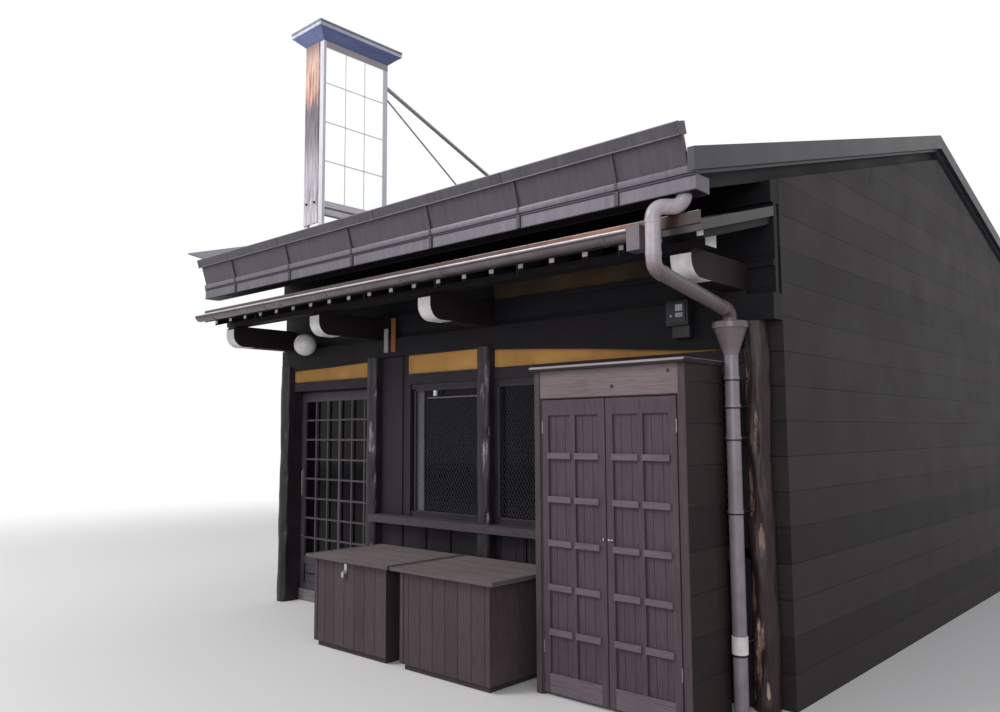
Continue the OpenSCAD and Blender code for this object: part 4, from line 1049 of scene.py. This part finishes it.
class TOWNHOUSE_OT_wall_fittings(bpy.types.Operator):
    """Makes the globe lamp, the meter and the bare name plates"""
    bl_idname = "townhouse.wall_fittings"
    bl_label = "Wall Fittings"

    def execute(self, context):
        low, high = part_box("globe_lamp")
        middle = Vector(((low.x + high.x) / 2, low.y + 0.106, (low.z + high.z) / 2))
        form = Form()
        bmesh.ops.create_uvsphere(form.bm, u_segments=48, v_segments=32, radius=0.1055,
                                  matrix=Matrix.Translation(middle) @ Matrix.Rotation(math.pi / 2, 4, "X"))
        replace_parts(form.piece("lamp_globe", opal_globe(), "opal_glass", smooth=60), "globe_lamp")
        # The holder: a rosette on the beam, a neck and a cup, as places from the wall and radii
        turned = ((high.y, 0.022), (high.y - 0.010, 0.022), (high.y - 0.014, 0.020), (high.y - 0.030, 0.016),
                  (middle.y + 0.100, 0.038), (middle.y + 0.092, 0.045))
        Form().tube([(middle.x, y, middle.z) for y, _ in turned], [radius for _, radius in turned], 28).piece(
            "lamp_holder", dark_iron(), "meter_plastic", smooth=40)
        low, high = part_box("meter_box")
        x, y, z = low
        form = Form().block((x, high.x), (y + 0.010, high.y), (z + 0.078, high.z), 0.010)
        form.block((x + 0.034, high.x - 0.002), (y + 0.030, high.y), mm(z, 0, 80), 0.006)
        form.block((x + 0.012, high.x - 0.012), mm(y, 0, 20), (z + 0.092, high.z - 0.012), 0.008)
        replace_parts(form.piece("meter_case", black_case(), "meter_plastic", smooth=40), "meter_box")
        form = Form()
        for zs in (mm(z, 170, 212), mm(z, 130, 158)):
            form.block(mm(x, 78, 130), mm(y, -1, 4), zs, 0.002)
        form.tube([(x + 0.046, y - 0.003, z + 0.140), (x + 0.046, y + 0.002, z + 0.140)], 0.008, 16)
        form.piece("meter_windows",
                   rigid_plastic("pale grey dial", "#8d8d92", "#bcbcc0", rough=0.3), "meter_plastic")
        low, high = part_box("name_plates")
        grey = Form().block(mm(low.x, 0, 50), (low.y, high.y), mm(low.z, 0, 210), 0.003).piece(
            "name_plate_grey", timber("silvered plate", "Z", "#7d777a", "#a9a3a6", rough=0.7),
            "weathered_plank")
        Form().block(mm(high.x, -54, 0), (low.y, high.y), (low.z, high.z), 0.003).piece(
            "name_plate_russet", timber("russet plate", "Z", "#6a3a22", "#9a5a38", rough=0.6),
            "weathered_plank")
        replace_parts(grey, "name_plates")
        return {"FINISHED"}


class TOWNHOUSE_OT_cupboard_details(bpy.types.Operator):
    """Adds the cupboard's door battens, board joints, hinges, latch and side boards"""
    bl_idname = "townhouse.cupboard_details"
    bl_label = "Cupboard Details"

    # Widths of the doors' stiles and battens, and heights of their foot and head rails
    stile, batten, foot, head = 0.050, 0.036, 0.119, 0.098

    def door(self, label):
        """Dresses one door: two columns of six fields between battens."""
        node = "cupboard_door_" + label
        low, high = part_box(node)
        front, stile, batten = low.y, self.stile, self.batten
        cell = (high.x - low.x - 2 * stile - batten) / 2
        height = (high.z - low.z - self.head - self.foot - 5 * batten) / 6
        battens, joints, stiles, hinges = Form(), Form(), Form(), Form()
        for x in (low.x + stile, high.x - stile - cell):
            for row in range(6):
                z = low.z + self.foot + row * (height + batten)
                if row:
                    battens.block((x - 0.004, x + cell + 0.004), mm(front, -15, 2), mm(z, -38, 0), 0.002)
                for part in (0.30, 0.72):
                    joints.block(about(x + cell * part, 2), mm(front, 7.8, 9.5), (z, z + height),
                                 0.0006)
        battens.block(within(low.x, high.x, 46), mm(front, -6, 2), mm(low.z, 2, 120),
                      0.003)
        for xs in ((low.x + 0.001, low.x + stile), (low.x + stile + cell, high.x - stile - cell),
                   (high.x - stile, high.x - 0.001)):
            stiles.block(xs, mm(front, -5, 1), within(low.z, high.z, 2), 0.002)
        stiles.block(within(low.x, high.x, 46), mm(front, -4.5, 1),
                     (high.z - self.head, high.z - 0.003), 0.002)
        edge, sign = (low.x, 1) if label == "left" else (high.x, -1)
        for z in (low.z + 0.275, high.z - 0.17):
            hinges.block((edge + sign * 0.001, edge + sign * 0.012), mm(front, -2, 1), about(z, 38), 0.0008)
            hinges.tube([(edge + sign * 0.002, front - 0.002, pz) for pz in about(z, 38)], 0.004, 12)
        for form, name, material, smooth in (
                (stiles, "stiles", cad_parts["cupboard_door_left"].data.materials[0], None),
                (battens, "battens", timber("cupboard batten", "X", "#4c4147", "#6d6067", rough=0.6), None),
                (joints, "panel_joints",
                 timber("cupboard panel boards", "Z", "#2b2227", "#3f353b", rough=0.6), None),
                (hinges, "hinges", metal("worn hinge steel", "#7b7276", "#a79ca0", rough=0.4), 40)):
            form.piece("cupboard_%s_%s" % (name, label), material, "greyed_timber", node, smooth)
        return low, high

    def execute(self, context):
        grey = "greyed_timber"
        (_, left_high), (right_low, _) = self.door("left"), self.door("right")
        face, z = right_low.y, 0.985
        x = right_low.x
        form = Form().block(mm(x, 8, 46), mm(face, -4, 0), about(z, 12), 0.001)
        form.tube([(x + 0.010, face - 0.008, z), (x + 0.044, face - 0.008, z)], 0.0042, 12)
        form.tube([(x + 0.030, face - 0.012, z), (x + 0.030, face - 0.022, z)], 0.005, 12)
        form.piece("cupboard_bolt", bright_steel(), grey, "cupboard_door_right", 40)
        x = left_high.x
        form = Form().block(mm(x, -30, -6), mm(face, -4, 0), about(z, 12), 0.001)
        form.block(mm(x, -22, -14), mm(face, -12, -3), about(z, 9), 0.001)
        form.piece("cupboard_keeper", bright_steel(), grey, "cupboard_door_left", 40)
        low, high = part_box("cupboard_case")
        top, x0, x1 = high.z, low.x + 0.020, high.x - 0.020
        form = Form()
        for xs in (mm(x0, -4, 40), mm(x1, -40, 4)):
            form.block(xs, mm(face, -10, 2), (0.0, top - 0.0245), 0.003)
        form.piece("cupboard_face_frame",
                   timber("cupboard face frame", "Z", "#352c2e", "#4f4446", rough=0.6), grey)
        Form().block(within(x0, x1, 41), mm(face, -6, 1), (1.837, top - 0.0255), 0.003).piece(
            "cupboard_head_board", timber("cupboard head board", "X", "#574b4c", "#786b6c", rough=0.6), grey)
        form = Form()
        for x, z, r in ((1.835, 1.893, 0.013), (2.222, 1.968, 0.011)):
            form.tube([(x, face - 0.0066, z), (x, face - 0.004, z)], r, 20)
        form.piece("cupboard_head_knots", timber("dark knot", "Y", "#241b1c", "#45393a", rough=0.5), grey)
        # The side boards are much darker than the front: the stain's own red-brown, with painted shade on the
        # sides
        form = Form()
        for xs in (mm(x1, 0, 5), mm(x0, -5, 0)):
            form.block(xs, (face + 0.003, high.y - 0.002), (0.004, top - 0.0255), 0.001)
        side_boards = timber(
            "cupboard side boards", "Y", "#160e0e", "#2b1f1f", rough=0.58, board=("Z", 0.235, 0.02))
        form.piece("cupboard_side_boards", side_boards, grey)
        form = Form().block((low.x, high.x), mm(low.y, -2, 4), mm(top, -11, 1), 0.001)
        form.block((low.x, high.x), (low.y, high.y), mm(top, -0.5, 2.5), 0.001)
        form.piece("cupboard_top_sheet",
                   timber("cupboard top board", "X", "#7d7073", "#a2979a", rough=0.6), grey)
        form = Form().block((low.x, high.x), mm(low.y, -1, 4), mm(top, -24, -11.2))
        for xs in (mm(high.x, -4, 1), mm(low.x, -1, 4)):
            form.block(xs, (low.y, high.y), mm(top, -24, -1))
        form.piece("cupboard_top_underboard",
                   timber("shaded top board", "X", "#191415", "#2c2526", rough=0.66), grey)
        return {"FINISHED"}


class TOWNHOUSE_OT_chest_details(bpy.types.Operator):
    """Adds the chests' corner boards, plinths, lid edges, padlock and hasp"""
    bl_idname = "townhouse.chest_details"
    bl_label = "Chest Details"

    def chest(self, label):
        """Dresses one chest and its lid."""
        dark = timber("chest plinth board", "X", "#2c2224", "#45393b", rough=0.6)
        low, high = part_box("chest_%s_box" % label)
        form = Form()
        for xs in (mm(low.x, -4, 30), mm(high.x, -30, 4)):
            form.block(xs, mm(low.y, -6, 2), (0.040, high.z), 0.002)
        form.piece("chest_corners_" + label,
                   timber("chest corner board", "Z", "#35292d", "#504448", rough=0.6), "greyed_timber")
        form = Form().block(within(low.x, high.x, 22), mm(low.y, 20, 26), (0.0, 0.039), 0.002)
        form.block(mm(high.x, -28, -22), within(low.y, high.y, 26), (0.0, 0.039), 0.002)
        form.piece("chest_plinth_" + label, dark, "greyed_timber")
        node = "chest_%s_lid" % label
        low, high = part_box(node)
        form = Form().block((low.x, high.x), mm(low.y, -2, 12), (low.z - 0.002, high.z + 0.001), 0.003)
        for xs in (mm(low.x, -1, 30), mm(high.x, -30, 1)):
            form.block(xs, (low.y, high.y), (low.z + 0.002, high.z + 0.002), 0.002)
        form.piece("chest_lid_edges_" + label, timber("chest lid edge", "X", "#463b3e", "#665b5e", rough=0.6),
                   "greyed_timber", node)
        form = Form()
        for part in (0.26, 0.5, 0.74):
            form.block(within(low.x, high.x, 30), about(low.y + (high.y - low.y) * part, 2),
                       mm(high.z, -1, 0.6), 0.0005)
        form.piece("chest_lid_joints_" + label, dark, "greyed_timber", node)

    def execute(self, context):
        self.chest("left")
        self.chest("right")
        low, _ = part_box("chest_left_box")
        lid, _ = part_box("chest_left_lid")
        x, y = low.x + 0.382, low.y
        form = Form().block(about(x, 16), mm(y, -5, -0.5), (0.575, 0.650), 0.001)
        form.tube([(x - 0.010, y - 0.008, 0.600), (x - 0.010, y - 0.022, 0.596), (x, y - 0.026, 0.594),
                   (x + 0.010, y - 0.022, 0.596), (x + 0.010, y - 0.008, 0.600)], 0.003, 10)
        form.block(about(x, 14), mm(y, -34, -16), (0.552, 0.590), 0.004)
        form.piece("chest_padlock", bright_steel(), "greyed_timber", smooth=40)
        Form().block(about(x, 13), (lid.y + 0.002, y - 0.006), mm(lid.z, -4, 0), 0.001).piece(
            "chest_hasp", bright_steel(), "greyed_timber", "chest_left_lid")
        return {"FINISHED"}


class TOWNHOUSE_OT_stage(bpy.types.Operator):
    """Sets up the pale floor, the soft lamps, the white surroundings and the camera"""
    bl_idname = "townhouse.stage"
    bl_label = "Stage"

    def floor(self, scene, tint):
        """A wide disc that turns white towards the horizon."""
        bm = bmesh.new()
        bmesh.ops.create_circle(bm, cap_ends=True, segments=96, radius=40.0)
        mesh = bpy.data.meshes.new("floor")
        bm.to_mesh(mesh)
        bm.free()
        floor = bpy.data.objects.new("floor", mesh)
        scene.collection.objects.link(floor)
        material = bpy.data.materials.new("pale studio floor")
        add = emptied(material)
        away = add("VectorMath LENGTH", out="Value", i0=add("TexCoord", out="Object"))
        reach = add("MapRange", {"interpolation_type": "SMOOTHSTEP"}, Value=away, From_Min=6.5, From_Max=15.0)
        seen = add("Math MULTIPLY", i0=reach, i1=add("LightPath", out="Is Camera Ray"))
        add("OutputMaterial", Surface=add("MixShader", i0=seen, i1=add("BsdfDiffuse", Color=tint),
                                          i2=add("Emission", Color=(1, 1, 1, 1), Strength=1.0)))
        mesh.materials.append(material)

    def surroundings(self, scene):
        """A soft blue-white light that the camera, glass and gloss see as plain white."""
        scene.world = bpy.data.worlds.new("white surroundings")
        add = emptied(scene.world)
        ray = add("LightPath").node.outputs
        seen = add("Math MAXIMUM", i0=ray["Is Camera Ray"], i1=ray["Is Transmission Ray"])
        seen = add("Math MAXIMUM", i0=seen, i1=ray["Is Glossy Ray"])
        add("OutputWorld", Surface=add(
            "MixShader", i0=seen, i1=add("Background", Color=colour("#f4f6ff"), Strength=0.62),
            i2=add("Background", Color=(1, 1, 1, 1), Strength=1.0)))

    def camera(self, scene, sizes):
        """A standing person's view along the street, from the right."""
        lens = bpy.data.cameras.new("street view")
        lens.lens, lens.sensor_width, lens.clip_end = sizes.lens, 36.0, 200.0
        camera = bpy.data.objects.new("street view", lens)
        yaw, pitch, roll = math.radians(-42.62), math.radians(5.26), math.radians(-0.30)
        ahead = Vector((math.sin(yaw) * math.cos(pitch), math.cos(yaw) * math.cos(pitch), math.sin(pitch)))
        right = Vector((math.cos(yaw), -math.sin(yaw), 0))
        up = right.cross(ahead)
        turned = right * math.cos(roll) + up * math.sin(roll)
        raised = up * math.cos(roll) - right * math.sin(roll)
        camera.matrix_world = Matrix.Translation((4.715, -8.30, sizes.eye_height)) @ Matrix(
            (turned, raised, -ahead)).transposed().to_4x4()
        scene.collection.objects.link(camera)
        scene.camera = camera

    def execute(self, context):
        scene = context.scene
        sizes = scene.townhouse_stage
        self.floor(scene, tuple(sizes.floor_colour))
        self.surroundings(scene)
        for name, place, target, size, share in (
                ("key", (-5.5, -12.0, 9.5), (0.0, -3.8, 1.4), 6.0, 1.0),
                ("fill", (6.5, -12.5, 4.0), (0.4, -3.8, 1.2), 6.0, 0.35),
                ("top", (0.0, 3.0, 11.0), (0.0, 0.0, 2.0), 8.0, 0.4)):
            lamp = bpy.data.lights.new(name, "AREA")
            lamp.shape, lamp.size, lamp.energy = "DISK", size, sizes.key_power * share
            thing = bpy.data.objects.new(name, lamp)
            thing.location = place
            thing.rotation_euler = (Vector(target) - Vector(place)).to_track_quat("-Z", "Y").to_euler()
            scene.collection.objects.link(thing)
        self.camera(scene, sizes)
        scene.view_settings.view_transform = "Standard"
        return {"FINISHED"}


class TOWNHOUSE_PT_panel(bpy.types.Panel):
    """Lists the townhouse's settings and steps"""
    bl_idname = "TOWNHOUSE_PT_panel"
    bl_label = "Townhouse"
    bl_space_type = "VIEW_3D"
    bl_region_type = "UI"
    bl_category = "Townhouse"

    def draw(self, context):
        for name, kind in SETTINGS:
            box = self.layout.box()
            for key in kind.__annotations__:
                box.prop(getattr(context.scene, name), key)
        for step in STEPS:
            self.layout.operator(step.bl_idname)


SETTINGS = (
    ("townhouse_timber", TimberSettings),
    ("townhouse_roof", RoofSettings),
    ("townhouse_screen", ScreenSettings),
    ("townhouse_stage", StageSettings),
)
STEPS = (
    TOWNHOUSE_OT_finishes,
    TOWNHOUSE_OT_log_posts,
    TOWNHOUSE_OT_wall_details,
    TOWNHOUSE_OT_window_screens,
    TOWNHOUSE_OT_door_details,
    TOWNHOUSE_OT_bracket_paint,
    TOWNHOUSE_OT_roof_seams,
    TOWNHOUSE_OT_eave_details,
    TOWNHOUSE_OT_gutter_details,
    TOWNHOUSE_OT_downpipe,
    TOWNHOUSE_OT_tower_details,
    TOWNHOUSE_OT_wall_fittings,
    TOWNHOUSE_OT_cupboard_details,
    TOWNHOUSE_OT_chest_details,
    TOWNHOUSE_OT_stage,
)


def register():
    for name, kind in SETTINGS:
        bpy.utils.register_class(kind)
        setattr(bpy.types.Scene, name, bpy.props.PointerProperty(type=kind))
    for kind in STEPS + (TOWNHOUSE_PT_panel,):
        bpy.utils.register_class(kind)


def unregister():
    for kind in (TOWNHOUSE_PT_panel,) + STEPS[::-1]:
        bpy.utils.unregister_class(kind)
    for name, kind in SETTINGS[::-1]:
        delattr(bpy.types.Scene, name)
        bpy.utils.unregister_class(kind)


def main():
    register()
    for step in STEPS:
        group, name = step.bl_idname.split(".")
        getattr(getattr(bpy.ops, group), name)()


if __name__ == "__main__":
    main()
